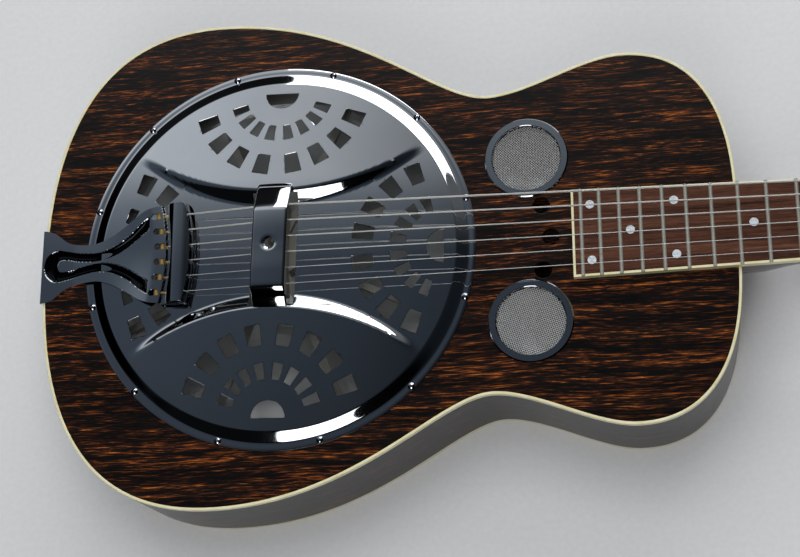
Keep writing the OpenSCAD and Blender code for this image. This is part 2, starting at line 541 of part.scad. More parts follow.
// A string as one tube: flat rings of eight points at each place where it bends
module string_tube(p, r) let (k = len(p)) polyhedron(
  points = [for (q = p) for (a = [0 : 45 : 315]) q + r * [0, cos(a), sin(a)]],
  faces = concat([[for (a = [0 : 7]) a]], [for (j = [0 : k - 2]) for (a = [0 : 7])
    [j * 8 + a, (j + 1) * 8 + a, (j + 1) * 8 + (a + 1) % 8, j * 8 + (a + 1) % 8]], [[for (a = [7 : -1 : 0]) (k - 1) * 8 + a]]), convexity = 4);
module strings() color("#c8c4b0") for (i = [0 : 5]) let (a = string_tail(i), b = string_saddle_p(i), t = 2.1 / (b[0] - a[0]))
  string_tube([a + t * (b - a), b, string_nut_p(i), string_end(i)], gauges[i]);
module ball_ends() color("#b8923e") for (i = [0 : 5]) from(string_tail(i)[0], string_tail(i)[1], string_tail(i)[2]) rotate([90, 0, 0])
  difference() { cylinder(r = 2, h = 4, center = true, $fn = 32); cylinder(r = 0.8, h = 6, center = true, $fn = 24); }

// ---- tuners, in the headstock's frame ----
gear_z = -head_t - veneer_t - 6;
gear_r = 5.6;
worm_r = 2.4;
worm_dx = gear_r + worm_r + 0.12;
case_h = 12;
shaft_r = 1.5;
module at_post(i) in_head() from(post_x(i), post_side(i) * post_y, 0) mirror([0, post_side(i) > 0 ? 0 : 1, 0]) children();
module tuner_housings() color("#c3c8ce") for (i = [1 : 6]) at_post(i) difference() {
  union() {
    from(-8.2, -9, -head_t - veneer_t - case_h) cube([20.4, 19, case_h]);
    from(-7, -8, -head_t - veneer_t - 3) cylinder(r = 3.4, h = 3);
    from(worm_dx, 9.9, gear_z) rotate([-90, 0, 0]) cylinder(r = 3, h = 4);
  }
  from(0, 0, gear_z - 2.2) cylinder(r = gear_r + 0.5, h = 4.4);
  from(0, 0, gear_z - 4) cylinder(r = post_r + run_gap, h = 40);
  from(worm_dx, -6.2, gear_z) rotate([-90, 0, 0]) cylinder(r = worm_r + 0.3, h = 12.4);
  from(worm_dx, -7.7, gear_z) rotate([-90, 0, 0]) cylinder(r = shaft_r + run_gap, h = 40);
  from(-7, -8, -60) cylinder(r = 1.2, h = 80, $fn = 24);
  from(-7, -8, -60) cylinder(r = 2.5, h = 60 - head_t - veneer_t - 3, $fn = 24);
}
module tuner_ferrules() color("#c3c8ce") for (i = [1 : 6]) at_post(i) difference() {
  union() { from(0, 0, -11) cylinder(r = 5, h = 11); cylinder(r = 7, h = 1.4); from(0, 0, 1.4) cylinder(r1 = 5.6, r2 = 5, h = 1.2, $fn = 64); }
  from(0, 0, -20) cylinder(r = post_r + run_gap, h = 40);
}
module tuner_screws() color("#c9ccd0") for (i = [1 : 6]) at_post(i) {
  from(-7, -8, -head_t - veneer_t - 3) cylinder(r = 1.2, h = 10.6, $fn = 24);
  difference() {
    from(-7, -8, -head_t - veneer_t - 4.6) cylinder(r = 2.2, h = 1.6, $fn = 24);
    for (q = [0, 90]) from(-7, -8, -head_t - veneer_t - 4.6) rotate([0, 0, q]) cube([3, 0.6, 1.2], center = true);
  }
}
button_gap = 6.5;
shaft_end = 14 + button_gap + 11;
module button(i) color("#c8cdd3") at_post(i) difference() {
  from(worm_dx, 14 + button_gap, gear_z - 3.5) union() {
    linear_extrude(height = 7) difference() {
      translate([0, 9]) scale([9.5, 9]) circle(r = 1, $fn = 48);
      translate([-20, -20]) square([40, 20.6]);
    }
    from(0, -1.5, 3.5) rotate([-90, 0, 0]) cylinder(r = 3, h = 4);
  }
  from(worm_dx, 0, gear_z) rotate([-90, 0, 0]) cylinder(r = shaft_r, h = shaft_end);
}
module worm(i) color("#8f9296") at_post(i) from(worm_dx, 0, gear_z) rotate([-90, 0, 0]) {
  from(0, 0, -7.5) cylinder(r = shaft_r, h = shaft_end + 7.5);
  from(0, 0, -6) rotate_extrude($fn = 48) polygon(concat([[0, 0], [1.8, 0]], [for (k = [0 : 4]) for (q = [[1.8, 0.4], [worm_r, 1.0], [worm_r, 1.4], [1.8, 2.0]]) [q[0], q[1] + k * 2.3]], [[1.8, 12], [0, 12]]));
}
module post(i) color("#c3c8ce") at_post(i) {
  difference() {
    union() {
      from(0, 0, gear_z - 3.9) cylinder(r = post_r, h = coil_z - coil_h / 2 - gear_z + 3.9);
      from(0, 0, coil_z - coil_h / 2) cylinder(r = post_r - 0.3, h = coil_h);
      from(0, 0, coil_z + coil_h / 2) cylinder(r = post_r, h = 3);
      from(0, 0, coil_z + coil_h / 2 + 3) cylinder(r1 = post_r, r2 = post_r - 1, h = 0.8, $fn = 64);
    }
    from(0, 0, coil_z + coil_h / 2 + 1.2) rotate([90, 0, 0]) cylinder(r = 0.8, h = 20, center = true, $fn = 24);
  }
  from(0, 0, gear_z - 2) linear_extrude(height = 4) polygon([for (k = [0 : gear_teeth - 1]) for (q = [[-0.32, -1.1], [-0.14, 0], [0.14, 0], [0.32, -1.1]])
    (gear_r + q[1]) * [cos((k + q[0]) * 360 / gear_teeth), sin((k + q[0]) * 360 / gear_teeth)]]);
}
// Wraps of string on the post: turned rings, so they clear the string that feeds them
module coil(i) color("#c8c4b0") at_post(i) let (g = gauges[i - 1], n = floor(coil_h / (2 * g)))
  rotate_extrude($fn = 48) for (k = [0 : n - 1]) polygon([for (a = [0 : 45 : 359])
    [post_r - 0.3 + g + g * cos(a), coil_z - (n * g) + g + 2 * g * k + (g * 1.06) * sin(a)]]);

top();
back();
side(1);  // side_bass
side(-1);  // side_treble
bindings();
linings();
back_braces();
tail_block();
neck_block();
sound_well();
cone();
spider();
saddles();
cone_screw();
cover_plate();
palm_rest();
plate_screws();
screen_rings();
screen_meshes();
tailpiece();
tail_bar();
end_pin();
neck();
fingerboard();
board_binding();
frets();
dot_inlays();
nut();
truss_rod();
truss_cover();
head_veneer();
strings();
ball_ends();
tuner_housings();
tuner_ferrules();
tuner_screws();
button(1);  // button_1
button(2);  // button_2
button(3);  // button_3
button(4);  // button_4
button(5);  // button_5
button(6);  // button_6
worm(1);  // worm_1
worm(2);  // worm_2
worm(3);  // worm_3
worm(4);  // worm_4
worm(5);  // worm_5
worm(6);  // worm_6
post(1);  // post_1
post(2);  // post_2
post(3);  // post_3
post(4);  // post_4
post(5);  // post_5
post(6);  // post_6
coil(1);  // coil_1
coil(2);  // coil_2
coil(3);  // coil_3
coil(4);  // coil_4
coil(5);  // coil_5
coil(6);  // coil_6
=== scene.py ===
import math

import bpy
from mathutils import Matrix, Vector


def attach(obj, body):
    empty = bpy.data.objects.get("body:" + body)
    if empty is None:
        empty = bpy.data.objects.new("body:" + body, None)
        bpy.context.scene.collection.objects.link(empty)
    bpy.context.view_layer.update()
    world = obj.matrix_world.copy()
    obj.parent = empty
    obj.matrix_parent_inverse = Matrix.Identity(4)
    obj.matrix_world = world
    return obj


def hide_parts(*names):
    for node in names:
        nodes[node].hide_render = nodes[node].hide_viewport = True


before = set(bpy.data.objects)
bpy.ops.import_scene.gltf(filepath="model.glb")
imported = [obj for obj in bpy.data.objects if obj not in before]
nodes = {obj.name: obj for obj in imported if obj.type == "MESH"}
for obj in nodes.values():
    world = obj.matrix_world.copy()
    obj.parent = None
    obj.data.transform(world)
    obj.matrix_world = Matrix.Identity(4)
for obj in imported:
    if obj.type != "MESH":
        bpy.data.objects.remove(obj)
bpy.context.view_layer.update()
mm = 0.001


# small helpers
def say(text):
    print("guitar:", text)


def pickOnly(*obs):
    if bpy.context.object and bpy.context.object.mode == "EDIT":
        bpy.ops.object.mode_set(mode="OBJECT")
    bpy.ops.object.select_all(action="DESELECT")
    for ob in obs:
        ob.select_set(True)
    if obs:
        bpy.context.view_layer.objects.active = obs[0]


def started(name):
    # the primitive just added becomes the working object
    ob = bpy.context.object
    ob.name = ob.data.name = name
    pickOnly(ob)
    return ob


def edit(ob, pick="NONE"):
    pickOnly(ob)
    bpy.ops.object.mode_set(mode="EDIT")
    bpy.ops.mesh.select_mode(type="VERT")
    bpy.ops.mesh.select_all(action="SELECT" if pick == "ALL" else "DESELECT")


def leave():
    bpy.ops.object.mode_set(mode="OBJECT")


def closeUp():
    # all faces turned outward, then back to object mode
    bpy.ops.mesh.select_all(action="SELECT")
    bpy.ops.mesh.normals_make_consistent(inside=False)
    leave()


def modify(ob, kind, **settings):
    pickOnly(ob)
    mod = ob.modifiers.new(kind.lower(), kind)
    for key, value in settings.items():
        setattr(mod, key, value)
    bpy.ops.object.modifier_apply(modifier=mod.name)


def settle(ob):
    # the place goes into the mesh, the object stays at the origin
    pickOnly(ob)
    bpy.ops.object.transform_apply(location=True, rotation=True, scale=True)


def cleanUp(ob, gap=0.00001):
    edit(ob, "ALL")
    bpy.ops.mesh.remove_doubles(threshold=gap)
    bpy.ops.mesh.normals_make_consistent(inside=False)
    leave()


def smooth(ob, degrees=32):
    pickOnly(ob)
    bpy.ops.object.shade_smooth_by_angle(angle=math.radians(degrees))


def easeEdges(ob, width, segments, degrees, clamp=True):
    # rounds every edge sharper than that angle; width in mm
    modify(ob, "BEVEL", width=width * mm, segments=segments, limit_method="ANGLE",
           angle_limit=math.radians(degrees), use_clamp_overlap=clamp)


def evenNormals(ob, degrees=30):
    # the big flat faces keep straight reflections next to their eased edges
    smooth(ob, degrees)
    modify(ob, "WEIGHTED_NORMAL", mode="FACE_AREA", weight=100, keep_sharp=True)


def cut(ob, tool, how="DIFFERENCE"):
    modify(ob, "BOOLEAN", object=tool, operation=how, solver="EXACT")
    bpy.data.objects.remove(tool)


def joined(obs, name):
    pickOnly(*obs)
    if len(obs) > 1:
        bpy.ops.object.join()
    ob = bpy.context.view_layer.objects.active
    ob.name = ob.data.name = name
    return ob


def copied(ob, name):
    twin = ob.copy()
    twin.data = ob.data.copy()
    twin.name = name
    bpy.context.scene.collection.objects.link(twin)
    return twin


def moveVerts(ob, rule):
    for v in ob.data.vertices:
        v.co = rule(v.co)
    ob.data.update()


def ease(a, b, t):
    t = min(1, max(0, (t - a) / (b - a)))
    return t * t * (3 - 2 * t)


def flowing(points, x):
    # smooth line through (x, value) pairs
    n = len(points)
    if x <= points[0][0]:
        return points[0][1]
    for i in range(n - 1):
        (x1, p1), (x2, p2) = points[i], points[i + 1]
        if x <= x2:
            m1 = (p2 - points[max(i - 1, 0)][1]) / (x2 - points[max(i - 1, 0)][0] or 1)
            m2 = (points[min(i + 2, n - 1)][1] - p1) / (points[min(i + 2, n - 1)][0] - x1)
            h = x2 - x1
            t = (x - x1) / h
            return ((2 * t ** 3 - 3 * t * t + 1) * p1 + (t ** 3 - 2 * t * t + t) * h * m1
                    + (3 * t * t - 2 * t ** 3) * p2 + (t ** 3 - t * t) * h * m2)
    return points[-1][1]


def outlineCurve(name, knots, resolution=24, closed=True):
    # knots: (x, y, handle in, handle out) as offsets, in mm
    pickOnly()
    bpy.ops.curve.primitive_bezier_curve_add(enter_editmode=False)
    ob = started(name)
    ob.data.dimensions = "3D"
    spline = ob.data.splines[0]
    spline.bezier_points.add(len(knots) - 2)
    for point, (x, y, hin, hout) in zip(spline.bezier_points, knots):
        point.handle_left_type = point.handle_right_type = "FREE"
        point.co = Vector((x, y, 0)) * mm
        point.handle_left = Vector((x + hin[0], y + hin[1], 0)) * mm
        point.handle_right = Vector((x + hout[0], y + hout[1], 0)) * mm
    spline.use_cyclic_u = closed
    spline.resolution_u = resolution
    bpy.ops.object.convert(target="MESH")
    return started(name)


def through(points, closed=True, name="line", resolution=8):
    # a smooth closed line through points, handles worked out from the neighbours
    n = len(points)
    knots = []
    for i, p in enumerate(points):
        a, b = points[(i - 1) % n], points[(i + 1) % n]
        if not closed and i in (0, n - 1):
            a, b = points[max(i - 1, 0)], points[min(i + 1, n - 1)]
        d = Vector((b[0] - a[0], b[1] - a[1]))
        if len(p) > 2:
            d = Vector((0, 0))
        la = math.dist(p[:2], a[:2]) / 3
        lb = math.dist(p[:2], b[:2]) / 3
        d = d.normalized() if d.length else d
        knots.append((p[0], p[1], tuple(-d * la), tuple(d * lb)))
    return outlineCurve(name, knots, resolution, closed)


def prism(name, ob, z0, z1):
    # fills a closed line and pulls it up from z0 to z1
    ob.name = ob.data.name = name
    edit(ob, "ALL")
    bpy.ops.mesh.remove_doubles(threshold=0.00002)
    bpy.ops.mesh.edge_face_add()
    bpy.ops.transform.translate(value=(0, 0, z0 * mm))
    bpy.ops.mesh.extrude_region_move(TRANSFORM_OT_translate={"value": (0, 0, (z1 - z0) * mm)})
    closeUp()
    return ob


def rod(name, x, y, z, r, h, count=64):
    pickOnly()
    bpy.ops.mesh.primitive_cylinder_add(vertices=count, radius=r * mm, depth=h * mm, location=(x * mm, y * mm, z * mm))
    ob = started(name)
    settle(ob)
    return ob


def tube(name, points, r, sides):
    # a round wire along points in metres
    pickOnly()
    bpy.ops.curve.primitive_bezier_curve_add(enter_editmode=False)
    ob = started(name)
    spline = ob.data.splines[0]
    spline.bezier_points.add(len(points) - 2)
    for point, p in zip(spline.bezier_points, points):
        point.co = p
        point.handle_left_type = point.handle_right_type = "VECTOR"
    spline.resolution_u = 1
    ob.data.bevel_depth = r * mm
    ob.data.bevel_resolution = max(0, sides // 4 - 1)
    ob.data.use_fill_caps = True
    bpy.ops.object.convert(target="MESH")
    ob = started(name)
    cleanUp(ob)
    return ob


def softCopy(node, name, width, degrees=35, segments=2):
    # the machined piece with its edges eased
    ob = copied(nodes[node], name)
    ob.parent = None
    for key in list(ob.keys()):
        del ob[key]
    edit(ob, "ALL")
    bpy.ops.mesh.remove_doubles(threshold=0.000005)
    bpy.ops.mesh.dissolve_limited(angle_limit=math.radians(1.5))
    leave()
    if width:
        easeEdges(ob, width, segments, degrees)
    evenNormals(ob, 34)
    return ob


# materials
def ink(text):
    # sRGB hex to linear
    out = []
    for i in (1, 3, 5):
        c = int(text[i:i + 2], 16) / 255
        out.append(c / 12.92 if c <= 0.04045 else ((c + 0.055) / 1.055) ** 2.4)
    return (*out, 1)


def put(mat, kind, settings=None, links=None):
    # adds a node, sets what is given, links what is a socket
    node = mat.node_tree.nodes.new(kind)
    for key, value in (settings or {}).items():
        if key == "stops":
            ramp = node.color_ramp
            while len(ramp.elements) < len(value):
                ramp.elements.new(0.5)
            for element, (place, colour) in zip(ramp.elements, value):
                element.position = place
                element.color = ink(colour) if isinstance(colour, str) else (colour, colour, colour, 1)
        else:
            setattr(node, key, value)
    for key, value in (links or {}).items():
        if isinstance(value, bpy.types.NodeSocket):
            mat.node_tree.links.new(value, node.inputs[key])
        else:
            node.inputs[key].default_value = value
    return node


def blank(name, base=None, **surface):
    mat = bpy.data.materials.new(name)
    mat.use_nodes = True
    mat.node_tree.nodes.clear()
    shader = put(mat, "ShaderNodeBsdfPrincipled", links={k.replace("_", " "): v for k, v in surface.items()})
    if base:
        shader.inputs["Base Color"].default_value = ink(base)
    put(mat, "ShaderNodeOutputMaterial", links={"Surface": shader.outputs[0]})
    where = put(mat, "ShaderNodeTexCoord").outputs["Object"]
    return mat, shader, where


def perMm(size):
    # noise scale for a feature of that size in mm
    return 1 / (size * mm)


def perWave(size):
    # wave scale for bands that far apart in mm
    return 2 * math.pi / (20 * size * mm)


def wire(mat, socket, shader, name):
    mat.node_tree.links.new(socket, shader.inputs[name])


def polished(name, base, rough, smear, wave, dent=0.0):
    # plated steel: mirror bright, with wiped haze and the slight waves of pressed sheet
    mat, shader, where = blank(name, base, Metallic=1.0)
    haze = put(mat, "ShaderNodeTexNoise", links={"Vector": where, "Scale": perMm(smear), "Detail": 5.0,
                                                 "Roughness": 0.6})
    level = put(mat, "ShaderNodeMapRange", links={"Value": haze.outputs[0], "From Min": 0.35, "From Max": 0.75,
                                                   "To Min": rough, "To Max": rough * 1.9})
    wire(mat, level.outputs[0], shader, "Roughness")
    tone = put(mat, "ShaderNodeMix", {"data_type": "RGBA"}, {0: haze.outputs[0], 6: ink(base), 7: ink("#c6cbd2")})
    wire(mat, tone.outputs[2], shader, "Base Color")
    if wave:
        ripple = put(mat, "ShaderNodeTexNoise", links={"Vector": where, "Scale": perMm(wave), "Detail": 1.0})
        bump = put(mat, "ShaderNodeBump", links={"Height": ripple.outputs[0], "Strength": 1.0, "Distance": dent * mm})
        wire(mat, bump.outputs[0], shader, "Normal")
    return mat


def figuredWood(name, tones, coat, streak=3.2, along=130.0, pore=0.35, rough=0.35, warp=6.0, broad=0.42, bandWide=0.0):
    # veneer or board, grain along x: bands of figure, broken pores, clear lacquer on top; sizes in mm
    mat, shader, where = blank(name, Coat_Weight=coat, Coat_Roughness=0.04, Coat_IOR=1.5,
                               Specular_IOR_Level=0.15 if coat else 0.2)
    wobble = put(mat, "ShaderNodeTexNoise", links={"Vector": where, "Scale": perMm(90), "Detail": 2.0})
    shift = put(mat, "ShaderNodeVectorMath", {"operation": "SCALE"}, {0: wobble.outputs[1], "Scale": warp * mm})
    moved = put(mat, "ShaderNodeVectorMath", {"operation": "ADD"}, {0: where, 1: shift.outputs[0]}).outputs[0]
    size = (perMm(along), perMm(streak), perMm(streak))
    drawn = put(mat, "ShaderNodeMapping", links={"Vector": moved, "Scale": size})
    bands = put(mat, "ShaderNodeTexNoise", links={"Vector": drawn.outputs[0], "Scale": 1.0, "Detail": 4.0,
                                                  "Roughness": 0.62, "Distortion": 0.3})
    drawn = put(mat, "ShaderNodeMapping", links={"Vector": moved, "Scale": tuple(0.26 * v for v in size)})
    wide = put(mat, "ShaderNodeTexNoise", links={"Vector": drawn.outputs[0], "Scale": 1.0, "Detail": 2.0,
                                                 "Roughness": 0.5})
    mixed = put(mat, "ShaderNodeMix", {"data_type": "FLOAT"}, {0: broad, 2: bands.outputs[0], 3: wide.outputs[0]})
    colour = put(mat, "ShaderNodeValToRGB", {"stops": tones}, {0: mixed.outputs[0]})
    drawn = put(mat, "ShaderNodeMapping", links={"Vector": where, "Scale": (perMm(7), perMm(pore), perMm(pore))})
    pores = put(mat, "ShaderNodeTexNoise", links={"Vector": drawn.outputs[0], "Scale": 1.0, "Detail": 2.0})
    dark = put(mat, "ShaderNodeMapRange", links={"Value": pores.outputs[0], "From Min": 0.33, "From Max": 0.5,
                                                 "To Min": 0.35, "To Max": 1.0})
    shade = put(mat, "ShaderNodeMix", {"data_type": "RGBA", "blend_type": "MULTIPLY"},
                {0: 1.0, 6: colour.outputs[0], 7: dark.outputs[0]})
    if bandWide:
        # the figure comes and goes in dark and light bands along the grain
        lane = (perMm(bandWide * 14), perMm(bandWide), perMm(bandWide))
        drawn = put(mat, "ShaderNodeMapping", links={"Vector": moved, "Scale": lane})
        lanes = put(mat, "ShaderNodeTexNoise", links={"Vector": drawn.outputs[0], "Scale": 1.0, "Detail": 2.0})
        level = put(mat, "ShaderNodeMapRange", links={"Value": lanes.outputs[0], "From Min": 0.42, "From Max": 0.58,
                                                      "To Min": 0.3, "To Max": 1.15})
        shade = put(mat, "ShaderNodeMix", {"data_type": "RGBA", "blend_type": "MULTIPLY"},
                    {0: 1.0, 6: shade.outputs[2], 7: level.outputs[0]})
    wire(mat, shade.outputs[2], shader, "Base Color")
    level = put(mat, "ShaderNodeMapRange", links={"Value": bands.outputs[0], "To Min": rough, "To Max": rough + 0.2})
    wire(mat, level.outputs[0], shader, "Roughness")
    bump = put(mat, "ShaderNodeBump", links={"Height": pores.outputs[0], "Strength": 0.12, "Distance": 0.05 * mm})
    wire(mat, bump.outputs[0], shader, "Normal")
    return mat


def castPlastic(name, low, high, rough, size=9.0, coat=0.0):
    # celluloid or bone: faint clouding, soft shine
    mat, shader, where = blank(name, Coat_Weight=coat, Coat_Roughness=0.08)
    cloud = put(mat, "ShaderNodeTexNoise", links={"Vector": where, "Scale": perMm(size), "Detail": 4.0})
    colour = put(mat, "ShaderNodeValToRGB", {"stops": [(0.3, low), (0.7, high)]}, {0: cloud.outputs[0]})
    wire(mat, colour.outputs[0], shader, "Base Color")
    level = put(mat, "ShaderNodeMapRange", links={"Value": cloud.outputs[0], "To Min": rough, "To Max": rough + 0.12})
    wire(mat, level.outputs[0], shader, "Roughness")
    return mat


def drawnMetal(name, base, other, rough, size, metallic=1.0):
    # bright drawn or cast metal with fine tool marks
    mat, shader, where = blank(name, Metallic=metallic)
    marks = put(mat, "ShaderNodeTexNoise", links={"Vector": where, "Scale": perMm(size), "Detail": 6.0,
                                                  "Roughness": 0.7})
    colour = put(mat, "ShaderNodeValToRGB", {"stops": [(0.3, base), (0.72, other)]}, {0: marks.outputs[0]})
    wire(mat, colour.outputs[0], shader, "Base Color")
    level = put(mat, "ShaderNodeMapRange", links={"Value": marks.outputs[0], "To Min": rough, "To Max": rough + 0.22})
    wire(mat, level.outputs[0], shader, "Roughness")
    bump = put(mat, "ShaderNodeBump", links={"Height": marks.outputs[0], "Strength": 0.25, "Distance": 0.03 * mm})
    wire(mat, bump.outputs[0], shader, "Normal")
    return mat


def spunMetal(name, base, other, pitch):
    # sheet spun on a lathe: fine rings round the centre
    mat, shader, where = blank(name, Metallic=0.65)
    rings = put(mat, "ShaderNodeTexWave", {"wave_type": "RINGS", "rings_direction": "Z"},
                {"Vector": where, "Scale": perWave(pitch), "Distortion": 0.4, "Detail": 1.0})
    colour = put(mat, "ShaderNodeValToRGB", {"stops": [(0.1, base), (0.9, other)]}, {0: rings.outputs[1]})
    wire(mat, colour.outputs[0], shader, "Base Color")
    level = put(mat, "ShaderNodeMapRange", links={"Value": rings.outputs[1], "To Min": 0.24, "To Max": 0.4})
    wire(mat, level.outputs[0], shader, "Roughness")
    bump = put(mat, "ShaderNodeBump", links={"Height": rings.outputs[1], "Strength": 0.3, "Distance": 0.05 * mm})
    wire(mat, bump.outputs[0], shader, "Normal")
    return mat


def woundWire(name, base, other, pitch):
    # round-wound string: the wrap shows as bands along it, at about twice the real spacing so that it shows; the
    # bands' colour is a painted highlight on each crown and painted shade in each gap
    mat, shader, where = blank(name, Metallic=0.6)
    wraps = put(mat, "ShaderNodeTexWave", {"wave_type": "BANDS", "bands_direction": "X"},
                {"Vector": where, "Scale": perWave(pitch), "Distortion": 0.0})
    # painted light: bright at the crowns, dark in the gaps between wraps
    colour = put(mat, "ShaderNodeValToRGB", {"stops": [(0.1, base), (0.8, other)]}, {0: wraps.outputs[1]})
    wire(mat, colour.outputs[0], shader, "Base Color")
    level = put(mat, "ShaderNodeMapRange", links={"Value": wraps.outputs[1], "To Min": 0.34, "To Max": 0.22})
    wire(mat, level.outputs[0], shader, "Roughness")
    bump = put(mat, "ShaderNodeBump", links={"Height": wraps.outputs[1], "Strength": 0.5, "Distance": 0.06 * mm})
    wire(mat, bump.outputs[0], shader, "Normal")
    return mat


looks = {
    # pressed steel, polished and plated: a clean dark mirror, hazed where it is wiped, slightly wavy
    "chromeSheet": polished("chromePlatedSheet", "#dfe2e6", 0.035, 70, 60, 0.02),
    # the tail sheet: the same plate, with painted shade darkening its pressed groove nearly black
    "grooveShadePaintedSheet": polished("chromePlatedTailSheetPaintedGrooveShade", "#dfe2e6", 0.035, 70, 60, 0.02),
    # plated castings and turned parts: the same mirror, softer over small radii
    "chromeCast": polished("chromePlatedCasting", "#dcdfe3", 0.05, 18, 0),
    # quilted veneer stained nearly black under gloss lacquer: fine orange flecks in loose bands
    "darkVeneer": figuredWood("lacqueredFiguredVeneer",
                              [(0.43, "#0d0704"), (0.51, "#1a0e08"), (0.57, "#55290d"), (0.65, "#b8641f")],
                              0.7, streak=0.75, along=15, pore=0.3, warp=7.0, broad=0.3, bandWide=9.0),
    # the same veneer bent round the sides, with longer figure; its darker tones are painted shade on the sides
    "sideVeneerPaintedShade": figuredWood("lacqueredSideVeneerPaintedShade",
                              [(0.40, "#0b0605"), (0.50, "#170c07"), (0.58, "#3a1d0f"), (0.68, "#6e3a1b")],
                              0.4, streak=1.6, along=30, broad=0.35, bandWide=12.0),
    # straight-grained mahogany, dark filler and lacquer: quiet brown with fine pores
    "neckWood": figuredWood("lacqueredMahogany", [(0.34, "#1c0e08"), (0.5, "#311a0f"), (0.66, "#4a2817")],
                            0.8, streak=2.4, pore=0.3),
    # oiled rosewood: brown with near-black streaks and open pores, low shine
    "rosewood": figuredWood("oiledRosewood",
                            [(0.34, "#24130c"), (0.46, "#4a2c1f"), (0.58, "#603c2c"), (0.72, "#7c5540")],
                            0.0, streak=1.6, along=60, pore=0.28, rough=0.5, warp=3.0),
    # unfinished spruce inside the body: dull straw brown, darkened as painted shade for the inside of the closed body
    "rawSpruceInPaintedShade": figuredWood("rawSpruceInPaintedShade", [(0.34, "#5c4028"), (0.5, "#725236"), (0.68, "#866344")],
                             0.0, streak=2.5, along=80, rough=0.6),
    # birch plywood of the well: pale brown with short grain
    "plywood": figuredWood("birchPlywood", [(0.34, "#6f4f30"), (0.5, "#866340"), (0.68, "#9b7650")],
                           0.0, streak=1.4, along=40, rough=0.6),
    # hard maple saddles: light, close-grained
    "maple": figuredWood("rawMaple", [(0.34, "#b08a5b"), (0.5, "#c9a473"), (0.68, "#dcbd90")],
                         0.1, streak=1.2, along=30, rough=0.45),
    # ebony under lacquer: almost black, a hint of brown grain
    "ebonyVeneer": figuredWood("lacqueredEbony", [(0.36, "#0a0807"), (0.5, "#15100d"), (0.66, "#221912")],
                               1.0, streak=2.0),
    # buffed celluloid: warm cream with faint clouding
    "binding": castPlastic("creamCelluloid", "#dbd3a2", "#ebe5bf", 0.26, 14, 0.6),
    # bleached bone: off-white, soft shine
    "bone": castPlastic("bleachedBone", "#ddd3b4", "#ece5cd", 0.32, 3),
    # pearloid: milky blue-grey swirls under a gloss face
    "pearl": castPlastic("pearloid", "#a9b6c2", "#e6ecf0", 0.2, 1.4, 0.8),
    # cast acrylic: glossy black
    "blackPlastic": castPlastic("blackAcrylic", "#0c0b0b", "#171514", 0.18, 12, 0.4),
    # nickel silver fret wire, dressed by hand: pale, slightly yellow, brushed
    "nickel": drawnMetal("nickelSilverWire", "#a8a89e", "#cfcfc6", 0.26, 0.8, 0.55),
    # machined steel: grey with tool marks
    "steel": drawnMetal("brightSteel", "#8f9194", "#b6b8ba", 0.28, 0.6, 0.75),
    # tinned music wire: thin bright line
    "plainString": drawnMetal("tinnedSteelWire", "#b4b5b4", "#d9dadb", 0.22, 0.5, 0.55),
    # nickel-wound string: painted highlight on the crowns, painted shade in the dark gaps between them
    "woundString": woundWire("nickelWoundStringPaintedLight", "#8b8b88", "#dededa", 0.5),
    # yellow brass: warm and bright
    "brass": drawnMetal("yellowBrass", "#b38d40", "#e2c26f", 0.24, 0.7, 0.75),
    # sand-cast aluminium: dull grey, grainy
    "castAlloy": drawnMetal("sandCastAluminium", "#8b8a84", "#adaca6", 0.42, 0.9, 0.6),
    # spun aluminium cone: silver with lathe rings
    "spun": spunMetal("spunAluminium", "#b4b6b6", "#e0e2e2", 0.5),
    # woven steel wire: small bright crowns, grey between
    "meshWire": drawnMetal("wovenSteelWire", "#c0c1c1", "#ededed", 0.3, 0.4, 0.6),
}


def paintShade(mat, attribute, colour):
    # painted shade: the plate takes this dark colour where the piece's own attribute says so
    shader = next(n for n in mat.node_tree.nodes if n.type == "BSDF_PRINCIPLED")
    plain = shader.inputs["Base Color"].links[0].from_socket
    mark = put(mat, "ShaderNodeAttribute", {"attribute_name": attribute})
    level = put(mat, "ShaderNodeMapRange", links={"Value": mark.outputs["Fac"], "From Min": 0.05, "From Max": 0.3})
    mix = put(mat, "ShaderNodeMix", {"data_type": "RGBA"}, {0: level.outputs[0], 6: plain, 7: ink(colour)})
    wire(mat, mix.outputs[2], shader, "Base Color")


# painted shade in the tail sheet's pressed groove: the plate turns nearly black there
paintShade(looks["grooveShadePaintedSheet"], "groove", "#1b1d21")


def dress(ob, look):
    ob.data.materials.clear()
    ob.data.materials.append(looks[look])


def seat(ob, body, slot, look, *stands):
    # material, body and the CAD nodes that the piece stands for
    dress(ob, look)
    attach(ob, body)
    if stands:
        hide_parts(*stands)


say("materials ready")

# body
box = {"depth": 85, "tail": -174.1, "neckEnd": 319.7, "bout": 180.2, "waist": 108.6, "upper": 133.4,
       "boutX": -48.05, "waistX": 150.9, "upperX": 246.17, "endHalf": 24.9,
       "bindW": 2, "bindH": 5, "plateT": 3.5, "sideT": 3,
       "wellHole": 134.5, "screenX": 177.7, "screenY": 59, "screenHole": 26.5,
       "soundHoles": [(187.1, 23.4), (187.1, -23.4), (193.1, 0)], "soundHoleR": 6}


def bodyLine(name):
    b = box
    half = [
        (b["tail"], 0, (0, -0.2963 * b["bout"]), (0, 0.2963 * b["bout"])),
        (b["boutX"], b["bout"], (-0.9504 * (b["boutX"] - b["tail"]), 0), (105.2, 0)),
        (b["waistX"], b["waist"], (-37.1, 0), (28.8, 0)),
        (b["upperX"], b["upper"], (-28.6, 0), (0.6588 * (b["neckEnd"] - b["upperX"]), 0)),
        (b["neckEnd"], b["endHalf"], (0, 0.628 * (b["upper"] - b["endHalf"])), (0, -5)),
    ]
    other = [(x, -y, (o[0], -o[1]), (i[0], -i[1])) for x, y, i, o in reversed(half[1:])]
    return outlineCurve(name, half + other, 40)


